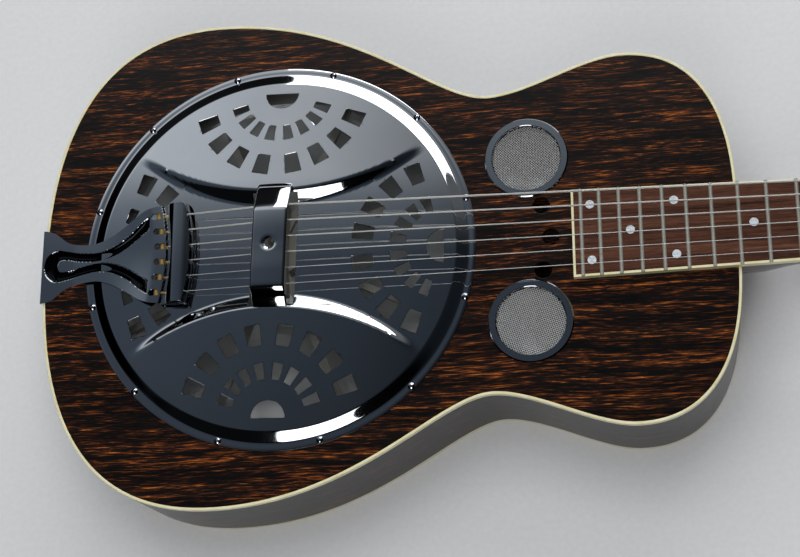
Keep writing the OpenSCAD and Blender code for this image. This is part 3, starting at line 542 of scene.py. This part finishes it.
def ringAndFill(name, z0, z1):
    # the outline is filled, inset by the binding's width, and both parts are pulled up
    line = bodyLine(name)
    edit(line, "ALL")
    bpy.ops.mesh.remove_doubles(threshold=0.00002)
    bpy.ops.mesh.edge_face_add()
    bpy.ops.mesh.inset(thickness=box["bindW"] * mm, use_even_offset=True)
    bpy.ops.mesh.separate(type="SELECTED")
    leave()
    inner = [o for o in bpy.context.selected_objects if o != line][0]
    edge = (box["depth"] - box["bindH"], box["depth"]) if z0 else (0, box["bindH"])
    for ob, (a, b) in ((inner, (z0, z1)), (line, edge)):
        edit(ob, "ALL")
        bpy.ops.mesh.remove_doubles(threshold=0.000001)
        bpy.ops.transform.translate(value=(0, 0, a * mm))
        bpy.ops.mesh.extrude_region_move(TRANSFORM_OT_translate={"value": (0, 0, (b - a) * mm)})
        closeUp()
    return inner, line


top, topBinding = ringAndFill("soundboard", box["depth"] - box["plateT"], box["depth"])
back, backBinding = ringAndFill("backPlate", 0, box["plateT"])
top.name, topBinding.name, back.name, backBinding.name = "soundboard", "topBinding", "backPlate", "backBinding"
cutters = [rod("wellCut", 0, 0, 84, box["wellHole"], 20, 160)]
for s in (1, -1):
    cutters.append(rod("screenCut", box["screenX"], s * box["screenY"], 84, box["screenHole"], 20, 96))
for x, y in box["soundHoles"]:
    cutters.append(rod("soundCut", x, y, 84, box["soundHoleR"], 20, 48))
cut(top, joined(cutters, "topCuts"))
for ob in (topBinding, backBinding):
    easeEdges(ob, 0.5, 3, 50)
easeEdges(top, 0.35, 2, 60)
binding = joined([topBinding, backBinding], "bodyBinding")
for ob in (top, back, binding):
    evenNormals(ob)

sides = []
for name, s in (("bassSide", 1), ("trebleSide", -1)):
    wall = bodyLine(name)
    wall.name = wall.data.name = name
    edit(wall, "ALL")
    bpy.ops.mesh.remove_doubles(threshold=0.00002)
    bpy.ops.transform.translate(value=(0, 0, box["bindH"] * mm))
    bpy.ops.mesh.extrude_edges_move(TRANSFORM_OT_translate={"value": (0, 0, (box["depth"] - 2 * box["bindH"]) * mm)})
    bpy.ops.mesh.select_all(action="SELECT")
    bpy.ops.mesh.bisect(plane_co=(0, 0, 0), plane_no=(0, s, 0), clear_inner=True, clear_outer=False)
    closeUp()
    probe = max(wall.data.polygons, key=lambda p: p.center.y * s)
    if probe.normal.y * s < 0:
        edit(wall, "ALL")
        bpy.ops.mesh.flip_normals()
        leave()
    modify(wall, "SOLIDIFY", thickness=box["sideT"] * mm, offset=-1.0, use_even_offset=True)
    smooth(wall)
    sides.append(wall)
seat(top, "guitar", "dark_laminate", "darkVeneer", "top")
seat(back, "guitar", "dark_laminate", "darkVeneer", "back")
seat(binding, "guitar", "cream_binding", "binding", "bindings")
seat(sides[0], "guitar", "dark_laminate", "sideVeneerPaintedShade", "side_bass")
seat(sides[1], "guitar", "dark_laminate", "sideVeneerPaintedShade", "side_treble")
say("body done")

# cover plate
cover = {"r": 141.5, "t": 1.0, "domeH": 15.9, "bandH": 9.9, "flange": 136.2, "domeR": 128.5, "shoulder": 4.5,
         "lensC": 200, "stepMid": 162.0, "stepHalf": 5.4, "turn": -1.6, "fanR": 119.5, "fanD": 12,
         "slot": (16, 41), "fans": 8, "fanStep": 19.1, "fanSplit": 1.45,
         # inner radius, outer radius and half angle of the holes in each row of a fan
         "fanRows": [(26.5, 38, 5.4), (50, 64.9, 5.2)]}
topZ = box["depth"]


def ramp(a, b, t):
    # a pressed slope: nearly straight, with short bends at its ends
    return 0.1 * ease(a, b, t) + 0.9 * min(1, max(0, (t - a) / (b - a)))


def capHeight(h, r):
    big = (cover["domeR"] ** 2 + (h - cover["shoulder"]) ** 2) / (2 * (h - cover["shoulder"]))
    return h - big + math.sqrt(big * big - r * r)


def coverHeight(x, y):
    # height of the plate's upper face over the soundboard, in the plate's own frame, mm
    r = math.hypot(x, y)
    c = cover
    if r >= c["flange"]:
        return c["t"] - 0.35 * ease(c["r"] - 1.2, c["r"], r)
    inner = min(r, c["domeR"])
    band = capHeight(c["bandH"], inner)
    dome = capHeight(c["domeH"], inner)
    lens = min(math.hypot(x, y - c["lensC"]), math.hypot(x, y + c["lensC"]))
    # the step narrows as it gets lower
    half = max(1.3, c["stepHalf"] * (dome - band) / (c["domeH"] - c["bandH"]))
    mix = 1 - ramp(c["stepMid"] - half, c["stepMid"] + half, lens)
    h = band + (dome - band) * mix
    if r > c["domeR"]:
        t = ramp(c["domeR"], c["flange"], r)
        h = h + (c["t"] - h) * t
    return h


def fanCutters():
    tools = []
    pickOnly()
    for q in range(4):
        face = q * math.pi / 2 + math.radians(cover["turn"])
        centre = Vector((math.cos(face), math.sin(face))) * cover["fanR"]
        inward = face + math.pi
        shapes = [[(cover["fanD"], a) for a in [math.radians(k * 7.5 - 90) for k in range(25)]]]
        for k in range(cover["fans"]):
            place = k - (cover["fans"] - 1) / 2
            mid = math.radians(place * cover["fanStep"] + math.copysign(cover["fanSplit"], place))
            for r0, r1, degrees in cover["fanRows"]:
                w = math.radians(degrees)
                shapes.append([(r0, mid - w), (r1, mid - w), (r1, mid + w), (r0, mid + w)])
        for shape in shapes:
            bpy.ops.mesh.primitive_circle_add(vertices=len(shape), radius=0.01, fill_type="NGON")
            ob = started("fanCut")
            for v, (r, a) in zip(ob.data.vertices, shape):
                x, y = centre.x + r * math.cos(a + inward), centre.y + r * math.sin(a + inward)
                v.co = Vector((x * mm, y * mm, (topZ - 4) * mm))
            edit(ob, "ALL")
            bpy.ops.mesh.extrude_region_move(TRANSFORM_OT_translate={"value": (0, 0, 30 * mm)})
            closeUp()
            settle(ob)
            if len(shape) == 4:
                easeEdges(ob, 0.45, 2, 60)
            tools.append(ob)
    return joined(tools, "fanCuts")


pickOnly()
bpy.ops.mesh.primitive_circle_add(vertices=300, radius=cover["r"] * mm, fill_type="NOTHING")
plate = started("coverPlate")
radii = [141.2, 140.4, 139, 137.6] + [136.6 - k * 0.8 for k in range(12)] + [127 - k * 1.1 for k in range(112)]
edit(plate, "ALL")
here = cover["r"]
for r in radii:
    bpy.ops.mesh.extrude_edges_move()
    bpy.ops.transform.resize(value=(r / here, r / here, 1))
    here = r
bpy.ops.mesh.edge_face_add()
leave()
turned = Matrix.Rotation(math.radians(cover["turn"]), 4, "Z")


def drape(co):
    x, y = co.x / mm, co.y / mm
    return turned @ Vector((co.x, co.y, (topZ + coverHeight(x, y)) * mm))


moveVerts(plate, drape)
edit(plate, "ALL")
bpy.ops.mesh.normals_make_consistent(inside=False)
leave()
if plate.data.polygons[0].normal.z < 0:
    edit(plate, "ALL")
    bpy.ops.mesh.flip_normals()
    leave()
modify(plate, "SOLIDIFY", thickness=cover["t"] * 0.9 * mm, offset=-1.0)
cut(plate, fanCutters())
bpy.ops.mesh.primitive_cube_add(size=1, location=(0, 0, topZ * mm))
slotTool = started("slotCut")
slotTool.scale = (2 * cover["slot"][0] * mm, 2 * cover["slot"][1] * mm, 60 * mm)
slotTool.rotation_euler.z = math.radians(cover["turn"])
settle(slotTool)
cut(plate, slotTool)
cleanUp(plate, 0.00003)
easeEdges(plate, 0.2, 1, 60, clamp=False)
smooth(plate, 26)
seat(plate, "guitar", "chrome_plate", "chromeSheet", "cover_plate")
say("cover plate done")

# palm rest
palm = {"w": 24.6, "h": 26.0, "flat": 29.0, "half": 45.0, "t": 1.4, "hole": 3.2,
        "crown": 0.45, "flatShift": -2.2, "footShift": 4.0}
pickOnly()
bpy.ops.mesh.primitive_grid_add(x_subdivisions=26, y_subdivisions=96, size=1)
rest = started("palmRest")
palmDrops = [(palm["flat"] - 2.5, 0.08), (palm["flat"] + 1, 1.0), (palm["flat"] + 4, 2.6), (palm["flat"] + 9, 5.8),
             (palm["half"] - 3, 8.4), (palm["half"] + 0.6, 11.6)]
palmSide = [(0, palm["h"])] + [(y, palm["h"] - drop) for y, drop in palmDrops]


def palmShape(co):
    x, y = co.x * palm["w"], co.y * 2 * (palm["half"] + 0.6)
    z = flowing(palmSide, abs(y))
    y += palm["flatShift"] + palm["footShift"] * ease(palm["flat"], palm["half"] - 3, abs(y))
    edge = abs(x) / (palm["w"] / 2)
    z -= palm["crown"] * edge ** 2 + 0.6 * max(0, edge - 0.9) ** 2 / 0.1 ** 2    # crowned, rolled long edges
    z -= 0.9 * (1 - ease(3.0, 5.6, math.hypot(x, y)))    # dimple round the access hole
    return turned @ Vector((x * mm, y * mm, (topZ + z) * mm))


moveVerts(rest, palmShape)
modify(rest, "SOLIDIFY", thickness=palm["t"] * mm, offset=-1.0)
cut(rest, rod("accessCut", 0, 0, topZ + 22, palm["hole"], 20, 40))
easeEdges(rest, 0.25, 2, 55)
smooth(rest, 30)
seat(rest, "guitar", "chrome_plate", "chromeSheet", "palm_rest")
say("palm rest done")

# tailpiece
tail = {"end": -174.1, "t": 1.6, "bend": 0.9, "space": 11.25, "holeX": -84.9, "holeR": 2.4, "plateauR": 150,
        "rise": [(-200, 0), (-152, 0), (-147, 0.6), (-128, 4.7), (-104, 9.9), (-88, 13.4), (-82, 13.8),
                 (-70, 13.8), (-54, 13.8)],
        "slot": (5.25, 2.15)}
steps = [2.5, 1.5, 0.5, -0.5, -1.5, -2.5]
tx = tail["end"]
tailEdge = [(8, 25), (19, 17.2), (30, 14.6), (42, 14.2), (54, 17.8), (66, 24.6), (81, 33.6), (98, 36.4), (112, 36.4)]
# (distance from the tail edge, half width): the sheet's outline and both sides of its groove
grooveOuter = [(1, 0), (2.6, 6.4), (9, 11.6), (18, 10.6), (30, 8.0), (44, 7.0), (56, 9.8), (68, 16.2),
               (78, 24.4), (84, 28.5)]
grooveInner = [(10.5, 0), (12, 3.8), (17, 4.8), (28, 2.6), (44, 1.0), (57, 3.4), (68, 8.6), (78, 15.2), (84, 19)]


def halfWidth(table, s):
    return flowing(table, s) if table[0][0] <= s <= table[-1][0] else 0.0


def grooveDepth(s, y):
    # 0 outside the pressed groove, 1 along its middle
    out, inn = halfWidth(grooveOuter, s), halfWidth(grooveInner, s)
    if not out or s > 86:
        return 0.0
    low = inn if s > 10.5 else 0
    depth = 1 - abs((abs(y) - (out + low) / 2) / max(0.1, (out - low) / 2))
    if s < 10.5:
        depth = 1 - max(abs(s - 5.6) / 5.0, abs(y) / max(0.1, out))
    depth = min(1.0, max(0.0, depth))
    return math.sqrt(1 - (1 - depth) ** 2) * (1 - ease(79, 86, s))


def tailTop(s, y):
    # upper face of the sheet over the soundboard; s runs along the sheet from the tail edge
    x = tx + s
    bow = math.sqrt(max(0, tail["plateauR"] ** 2 - y * y)) - tail["plateauR"]
    z = flowing(tail["rise"], x - bow * ease(-135, -95, x)) + tail["t"]
    z -= (1.5 + 1.3 * ease(20, 46, s)) * grooveDepth(s, y)
    z -= 2.4 * ease(-77.1 + bow, -76.1 + bow, x)    # step down under the cover bar
    z -= 2.6 * ease(-58.5 + bow, -55.0 + bow, x)    # front lip rolls down
    return z


pickOnly()
bpy.ops.mesh.primitive_grid_add(x_subdivisions=370, y_subdivisions=180, size=1)
sheet = started("tailSheet")
moveVerts(sheet, lambda co: Vector(((co.x * 170 + 40) * mm, co.y * 80 * mm, 0)))
modify(sheet, "SOLIDIFY", thickness=tail["t"] * mm, offset=-1.0)
flap = [(-45, 0), (-50, 5), (-45, 10.5), (-34, 13.0), (-20, 17.5), (-6, 26.2), (0, 27.4)]
edgeLine = flap + tailEdge + [(116.2, 28), (118.6, 14), (119.4, 0)]
full = edgeLine + [(x, -y) for x, y in reversed(edgeLine[1:-1])]
cut(sheet, prism("tailCut", through(full, True, "tailCut", 12), -20, 20), "INTERSECT")
tools = []
bowAt = [1.6 - 0.55 * k * k for k in steps]
for k, b in zip(steps, bowAt):
    s0 = tail["holeX"] + b - tx
    tools.append(rod("ballHole", s0, k * tail["space"], 0, tail["holeR"], 12, 32))
cut(sheet, joined(tools, "ballHoles"))
tools = []
for k, b in zip(steps, bowAt):
    # the slot that the string drops into, on the neck side of each hole
    pickOnly()
    long, half = tail["slot"]
    s0 = tail["holeX"] + b - tx
    bpy.ops.mesh.primitive_cube_add(size=1, location=((s0 + long / 2) * mm, k * tail["space"] * mm, 0))
    tools.append(started("ballSlot"))
    tools[-1].scale = (long * mm, 2 * half * mm, 12 * mm)
    settle(tools[-1])
cut(sheet, joined(tools, "ballSlots"))


def foldTail(co):
    # the flat sheet is laid over the tail edge and raised along the body
    s, y, d = co.x / mm, co.y / mm, co.z / mm
    if s >= 0:
        return Vector(((tx + s) * mm, y * mm, (topZ + tailTop(s, y) + d) * mm))
    r = tail["t"] + tail["bend"]
    turnLen = r * math.pi / 2
    top = topZ + tail["t"]
    if s > -turnLen:
        a = -s / r
        x = tx - (r + d - tail["bend"]) * math.sin(a)
        return Vector((x * mm, y * mm, (top - r + (r + d) * math.cos(a)) * mm))
    down = -s - turnLen
    return Vector(((tx - tail["t"] - d) * mm, y * mm, (top - r - down * 0.97) * mm))


# the groove's depth is kept as the mask for its painted shade
grooveShadeMask = sheet.data.attributes.new("groove", "FLOAT", "POINT")
for v, spot in zip(sheet.data.vertices, grooveShadeMask.data):
    spot.value = grooveDepth(v.co.x / mm, v.co.y / mm)
moveVerts(sheet, foldTail)
cleanUp(sheet, 0.000002)
smooth(sheet, 40)
seat(sheet, "guitar", "chrome_plate", "grooveShadePaintedSheet", "tailpiece")

bar = softCopy("tail_bar", "stringCover", 0.7, 30, 3)
seat(bar, "guitar", "chrome_plate", "chromeSheet", "tail_bar")
pin = softCopy("end_pin", "endPin", 0.0)
seat(pin, "guitar", "chrome_plate", "chromeCast", "end_pin")
say("tailpiece done")

# screens
# the real cloth is about twice as fine; it is drawn coarser so that its wires show
screen = {"open": 24.0, "pitch": 1.35, "wire": 0.28, "sunk": 1.6, "lean": {1: 45.0, -1: 17.0}}
ringLine = [(24.0, -3.0), (24.0, 1.25), (24.3, 1.5), (28.5, 1.5), (29.2, 0.8), (29.2, 0.0), (26.4, 0.0),
            (26.4, -3.0)]
rings = []
for s in (1, -1):
    pickOnly()
    bpy.ops.mesh.primitive_circle_add(vertices=len(ringLine), radius=0.01, fill_type="NOTHING")
    ring = started("screenRing")
    for v, (r, z) in zip(ring.data.vertices, ringLine):
        v.co = Vector((r * mm, 0, z * mm))
    edit(ring, "ALL")
    bpy.ops.mesh.spin(steps=120, angle=2 * math.pi, center=(0, 0, 0), axis=(0, 0, 1))
    bpy.ops.mesh.select_all(action="SELECT")
    bpy.ops.mesh.remove_doubles(threshold=0.00002)
    bpy.ops.mesh.normals_make_consistent(inside=False)
    bpy.ops.transform.translate(value=(box["screenX"] * mm, s * box["screenY"] * mm, topZ * mm))
    leave()
    rings.append(ring)
ring = joined(rings, "screenRings")
smooth(ring, 20)
seat(ring, "guitar", "chrome_plate", "chromeCast", "screen_rings")


def weave(s):
    # one wire is pulled out step by step, over and under, then copied across
    cloth = []
    p, w = screen["pitch"], screen["wire"]
    reach = int(screen["open"] / p)
    for way in (0, 1):
        for k in range(-reach, reach + 1):
            half = math.sqrt(screen["open"] ** 2 - (k * p) ** 2) - 0.3
            n = int(half / p)
            if n < 1:
                continue
            pickOnly()
            bpy.ops.mesh.primitive_circle_add(vertices=4, radius=w * mm, fill_type="NOTHING",
                                              rotation=(0, math.pi / 2, 0), location=(-half * mm, 0, 0))
            strand = started("strand")
            settle(strand)
            edit(strand, "ALL")
            at = -half
            stops = [j * p for j in range(-n, n + 1)] + [half]
            height = 0.0
            for j, x in enumerate(stops):
                goal = 0.0 if x == half else w * (1 if (round(x / p) + k + way) % 2 == 0 else -1)
                move = ((x - at) * mm, 0, (goal - height) * mm)
                bpy.ops.mesh.extrude_edges_move(TRANSFORM_OT_translate={"value": move})
                at, height = x, goal
            leave()
            if way == 0:
                moveVerts(strand, lambda co: Vector((co.x, co.y + k * p * mm, co.z)))
            else:
                moveVerts(strand, lambda co: Vector((co.y + k * p * mm, co.x, co.z)))
            cloth.append(strand)
    cloth = joined(cloth, "weave")
    spin = Matrix.Rotation(math.radians(screen["lean"][s]), 4, "Z")
    place = Vector((box["screenX"] * mm, s * box["screenY"] * mm, (topZ - screen["sunk"]) * mm))
    moveVerts(cloth, lambda co: spin @ co + place)
    return cloth


meshes = joined([weave(1), weave(-1)], "screenWeave")
cleanUp(meshes, 0.000001)
smooth(meshes, 60)
seat(meshes, "guitar", "wire_mesh", "meshWire", "screen_meshes")
say("screens done")

# strings; the neck's values come first because the strings lie over it
neck = {"nutW": 46.7, "jointW": 58.6, "nutDepth": 17.0, "heelDepth": 21.0, "foot": 9.0,
        "headT": 14.0, "veneer": 2.0, "pinch": 0.46, "headStart": (642.1, 86), "postHole": 5}
wires = {"radii": [0.71, 0.58, 0.46, 0.36, 0.23, 0.2], "saddleX": 2.5, "saddleZ": 105.6, "saddleStep": 11.6,
         "nutX": 637.9, "nutZ": 92.4, "nutStep": 7.9, "tilt": 14.0, "first": 50.0, "step": 41.0, "postY": 23.0,
         "postR": 3, "coilZ": 8.6, "ballX": 3.2, "ballZ": 12.9, "ballR": 2.1, "twistR": 0.26, "twists": 9,
         "twistLong": 11.0}


def headPoint(x, y, z):
    t = math.radians(wires["tilt"])
    x0, z0 = neck["headStart"]
    return Vector((x0 + x * math.cos(t) + z * math.sin(t), y, z0 - x * math.sin(t) + z * math.cos(t))) * mm


wound, plain, twists = [], [], []
for i, (k, g) in enumerate(zip(steps, wires["radii"])):
    side = 1 if i < 3 else -1
    row = i if i < 3 else 5 - i
    a = Vector((tail["holeX"] + bowAt[i] + wires["ballX"], k * tail["space"], topZ + wires["ballZ"])) * mm
    b = Vector((wires["saddleX"], k * wires["saddleStep"], wires["saddleZ"] + g)) * mm
    c = Vector((wires["nutX"], k * wires["nutStep"], wires["nutZ"] + g)) * mm
    onPost = side * (wires["postY"] - wires["postR"] + 0.3 - 3 * g - 0.12)
    d = headPoint(wires["first"] + wires["step"] * row, onPost, wires["coilZ"])
    start = a + (b - a).normalized() * wires["ballR"] * mm
    wireOb = tube("string", [start, a.lerp(b, 0.5), b, b.lerp(c, 0.5), c, d], g, 12)
    (wound if i < 4 else plain).append(wireOb)
    along = (b - a).normalized()
    across = along.cross(Vector((0, 0, 1))).normalized()
    up = across.cross(along)
    turns, length = wires["twists"], wires["twistLong"]
    line = []
    for j in range(turns * 8 + 1):
        q = j / 8 * 2 * math.pi
        r = (g + 0.28) * mm
        centre = start + along * (length * j / (turns * 8)) * mm
        line.append(centre + across * r * math.cos(q) + up * r * math.sin(q))
    twists.append(tube("twist", line, wires["twistR"], 6))
heavy = joined(wound, "woundStrings")
light = joined(plain, "plainStrings")
twist = joined(twists, "stringTwists")
for ob in (heavy, light, twist):
    smooth(ob, 60)
seat(heavy, "guitar", "steel", "woundString", "strings")
seat(light, "guitar", "steel", "plainString", "strings")
seat(twist, "guitar", "brass", "brass")
say("strings done")

# neck
stations = [319.7, 322, 326, 330.5, 333, 336, 340, 345, 350, 356, 362, 368, 376, 390, 420, 460, 500, 540, 580,
            604, 616, 626, 634, 640, 648]
turnsRound = 40


def neckRing(x):
    half = (neck["nutW"] + (neck["jointW"] - neck["nutW"]) * (640 - x) / 320) / 2
    depth = neck["heelDepth"] + (neck["nutDepth"] - neck["heelDepth"]) * min(1, max(0, (x - 330) / 300))
    heel = (1 - ease(331, 372, x)) ** 1.5
    full = topZ - neck["foot"]
    drop = depth + (full - depth) * heel
    fall = max(0, x - 612) * 0.30
    ring = []
    for j in range(turnsRound):
        t = j / (turnsRound - 1)
        a = math.pi * t
        y = half * math.cos(a)
        s = math.sin(a)
        z = -drop * s
        if heel > 0.01:
            pinch = 1 - neck["pinch"] * heel * ease(0.12, 0.75, s)
            flatFoot = min(drop * s * (1 + 0.25 * heel), drop)
            y, z = y * pinch, -flatFoot
        ring.append(Vector((x, y, topZ + z - fall * (0.4 + 0.6 * s))) * mm)
    return ring


pickOnly()
bpy.ops.mesh.primitive_circle_add(vertices=turnsRound, radius=0.02, fill_type="NOTHING")
shaft = started("neckWood")
for v, p in zip(shaft.data.vertices, neckRing(stations[0])):
    v.co = p
edit(shaft, "ALL")
bpy.ops.mesh.edge_face_add()
for x in stations[1:]:
    bpy.ops.mesh.extrude_region_move(TRANSFORM_OT_translate={"value": (mm, 0, 0)})
    leave()
    ring = neckRing(x)
    loop = [v for v in shaft.data.vertices if v.select]
    for v, p in zip(loop, ring):
        v.co = p
    bpy.ops.object.mode_set(mode="EDIT")
closeUp()

headLine = [(3, 23.6), (14, 26.2), (26, 33.5), (36, 35.5), (80, 34.5), (130, 33), (168, 31.5), (177, 28.5),
            (181, 21.5), (182, 12), (179, 0)]


def headOutline(name, w=0.0):
    pts = [(x, y - w) for x, y in headLine]
    ring = pts + [(x, -y) for x, y in reversed(pts[:-1])]
    ring = [(x, y, 0) if i in (0, len(ring) - 1) else (x, y) for i, (x, y) in enumerate(ring)]
    return through(ring, True, name, 8)


def tipped(ob):
    # laid out flat, then tipped back with the headstock
    turn = Matrix.Rotation(math.radians(wires["tilt"]), 4, "Y")
    start = Vector((neck["headStart"][0], 0, neck["headStart"][1])) * mm
    moveVerts(ob, lambda co: turn @ co + start)


def postHoles(name):
    holes = []
    for row in range(3):
        for s in (1, -1):
            x, y = wires["first"] + wires["step"] * row, s * wires["postY"]
            holes.append(rod(name, x, y, -8, neck["postHole"], 40, 40))
    return joined(holes, name)


headWood = prism("headWood", headOutline("headWood"), -neck["headT"] - neck["veneer"], -neck["veneer"])
cut(headWood, postHoles("postHole"))
easeEdges(headWood, 1.2, 3, 50)
tipped(headWood)
face = prism("headVeneer", headOutline("headVeneer", 0.05), -neck["veneer"], 0)
cut(face, postHoles("postHole"))
pickOnly(face)
bpy.ops.mesh.primitive_cube_add(size=1, location=(1.2 * mm, 0, 0))
nick = started("nick")
nick.scale = (0.0048, 0.2, 0.03)
settle(nick)
cut(face, nick)
easeEdges(face, 0.4, 2, 50)
tipped(face)
neckWood = joined([shaft, headWood], "neckWood")
evenNormals(neckWood, 36)
evenNormals(face, 36)
seat(neckWood, "guitar", "neck_wood", "neckWood", "neck")
seat(face, "guitar", "black_veneer", "ebonyVeneer", "head_veneer")
nutPiece = softCopy("nut", "nutBone", 0.2)
seat(nutPiece, "guitar", "bone", "bone", "nut")
rodCover = softCopy("truss_cover", "rodCover", 0.35)
seat(rodCover, "guitar", "black_plastic", "blackPlastic", "truss_cover")
say("neck done")

# tuners
housing = softCopy("tuner_housings", "tunerHousings", 1.2, 40, 3)
seat(housing, "guitar", "chrome_plate", "chromeCast", "tuner_housings")
for i in range(1, 7):
    key = softCopy("button_%d" % i, "tunerButton%d" % i, 1.3, 50, 4)
    seat(key, "key_%d" % i, "chrome_plate", "chromeCast", "button_%d" % i)
say("tuners done")

# finishes of the pieces that stay as they are
six = range(1, 7)
kept = {
    "rosewood": ["fingerboard"], "binding": ["board_binding"], "nickel": ["frets"], "pearl": ["dot_inlays"],
    "plywood": ["sound_well"], "rawSpruceInPaintedShade": ["linings", "back_braces", "tail_block", "neck_block"],
    "maple": ["saddles"], "spun": ["cone"], "castAlloy": ["spider"], "brass": ["ball_ends"],
    "steel": ["cone_screw", "truss_rod", "tuner_screws"] + ["worm_%d" % i for i in six],
    "plainString": ["coil_5", "coil_6"], "woundString": ["coil_%d" % i for i in six[:4]],
    "chromeCast": ["plate_screws", "tuner_ferrules"] + ["post_%d" % i for i in six],
}
# the nodes that a new piece stands for get its finish too
hidden = {
    "darkVeneer": ["top", "back"], "sideVeneerPaintedShade": ["side_bass", "side_treble"], "binding": ["bindings"],
    "chromeSheet": ["cover_plate", "palm_rest", "tailpiece", "tail_bar"], "meshWire": ["screen_meshes"],
    "chromeCast": ["end_pin", "screen_rings", "tuner_housings"] + ["button_%d" % i for i in six],
    "plainString": ["strings"], "neckWood": ["neck"], "ebonyVeneer": ["head_veneer"], "bone": ["nut"],
    "blackPlastic": ["truss_cover"],
}
for table in (kept, hidden):
    for look, names in table.items():
        for name in names:
            dress(nodes[name], look)
say("finishes done")

# floor, lamps and camera
studio = {"floor": "#dcdddf", "far": "#cfd0d2", "overhead": 54.0, "north": 26.0, "south": 13.5, "lens": 73.5795,
          "camera": ((0.98407, 0.057615, 0.16819, 0.278202), (-0.004906, 0.954473, -0.298256, -0.361343),
                     (-0.177716, 0.29268, 0.939551, 1.148764), (0, 0, 0, 1))}
pickOnly()
bpy.ops.mesh.primitive_plane_add(size=9, location=(0.2, 0, -0.0005))
floor = started("floor")
paper, paperShader, paperWhere = blank("studioPaper", studio["floor"], Roughness=0.9)
grain = put(paper, "ShaderNodeTexNoise", links={"Vector": paperWhere, "Scale": perMm(4), "Detail": 3.0})
tone = put(paper, "ShaderNodeValToRGB", {"stops": [(0.3, "#dadbdd"), (0.7, "#dfe0e2")]}, {0: grain.outputs[0]})
wire(paper, tone.outputs[0], paperShader, "Base Color")
# far from the guitar the paper is simply pale to the eye, so every view ends on a plain ground
far = put(paper, "ShaderNodeVectorMath", {"operation": "LENGTH"}, {0: paperWhere})
fade = put(paper, "ShaderNodeMapRange", links={"Value": far.outputs["Value"], "From Min": 1.0, "From Max": 2.6})
direct = put(paper, "ShaderNodeLightPath").outputs["Is Camera Ray"]
seen = put(paper, "ShaderNodeMath", {"operation": "MULTIPLY"}, {0: fade.outputs[0], 1: direct})
glow = put(paper, "ShaderNodeEmission", links={"Color": ink(studio["far"]), "Strength": 1.0})
blend = put(paper, "ShaderNodeMixShader", links={0: seen.outputs[0], 1: paperShader.outputs[0], 2: glow.outputs[0]})
paperOut = next(n for n in paper.node_tree.nodes if n.type == "OUTPUT_MATERIAL")
wire(paper, blend.outputs[0], paperOut, "Surface")
floor.data.materials.append(paper)

# a dim room, lighter high on the far side, so the plated sheet has something to show
room = bpy.data.worlds.new("studio")
bpy.context.scene.world = room
room.use_nodes = True
room.node_tree.nodes.clear()
aim = put(room, "ShaderNodeSeparateXYZ", links={0: put(room, "ShaderNodeTexCoord").outputs["Generated"]})


def across(axis, stops):
    place = put(room, "ShaderNodeMapRange", links={"Value": aim.outputs[axis], "From Min": -1.0, "From Max": 1.0})
    spread = [((v + 1) / 2, c) for v, c in stops]
    return put(room, "ShaderNodeValToRGB", {"stops": spread}, {0: place.outputs[0]}).outputs[0]


farNear = across(1, [(-1, "#0a0b0d"), (-0.32, "#0c0e10"), (-0.2, "#3a4047"), (0.3, "#48505a"), (0.38, "#7e858c"),
                     (0.48, "#d2d6da"), (0.8, "#dde0e3"), (1, "#b9bec4")])
leftRight = across(0, [(-1, "#202020"), (-0.82, "#5c5c5c"), (-0.7, "#ffffff"), (-0.1, "#cecece"), (0.2, "#808080"),
                       (1, "#606060")])
height = across(2, [(-1, "#101010"), (0.0, "#181818"), (0.42, "#242424"), (0.5, "#606060"), (0.6, "#ffffff")])
whole = farNear
for shade in (leftRight, height):
    whole = put(room, "ShaderNodeMix", {"data_type": "RGBA", "blend_type": "MULTIPLY"},
                {0: 1.0, 6: whole, 7: shade}).outputs[2]
eye = put(room, "ShaderNodeLightPath").outputs["Is Camera Ray"]
shown = put(room, "ShaderNodeMix", {"data_type": "RGBA"}, {0: eye, 6: whole, 7: ink(studio["far"])})
sky = put(room, "ShaderNodeBackground", links={0: shown.outputs[2], 1: 1.0})
put(room, "ShaderNodeOutputWorld", links={0: sky.outputs[0]})


def lamp(name, place, aim, power, width, height):
    light = bpy.data.lights.new(name, "AREA")
    light.shape = "RECTANGLE"
    light.size, light.size_y = width, height
    light.energy = power
    ob = bpy.data.objects.new(name, light)
    bpy.context.scene.collection.objects.link(ob)
    ob.location = place
    ob.rotation_euler = (Vector(aim) - Vector(place)).to_track_quat("-Z", "Y").to_euler()
    return ob


overhead = lamp("overheadCloth", (0.1, 0.4, 3.0), (0.1, 0, 0), studio["overhead"], 2.6, 2.6)
overhead.visible_glossy = False        # a thin cloth, too dim to mirror
lamp("northBox", (0.5, 2.05, 1.12), (0.05, 0, 0.1), studio["north"], 1.98, 1.6)
lamp("southBox", (-0.06, -1.7, 1.55), (0.0, 0, 0.1), studio["south"], 0.92, 1.7)

shot = bpy.data.cameras.new("camera")
shot.sensor_width = 36
shot.lens = studio["lens"]
shot.clip_start, shot.clip_end = 0.05, 30
camera = bpy.data.objects.new("camera", shot)
bpy.context.scene.collection.objects.link(camera)
camera.matrix_world = Matrix(studio["camera"])
bpy.context.scene.camera = camera
bpy.context.scene.view_settings.view_transform = "Standard"
say("studio done")
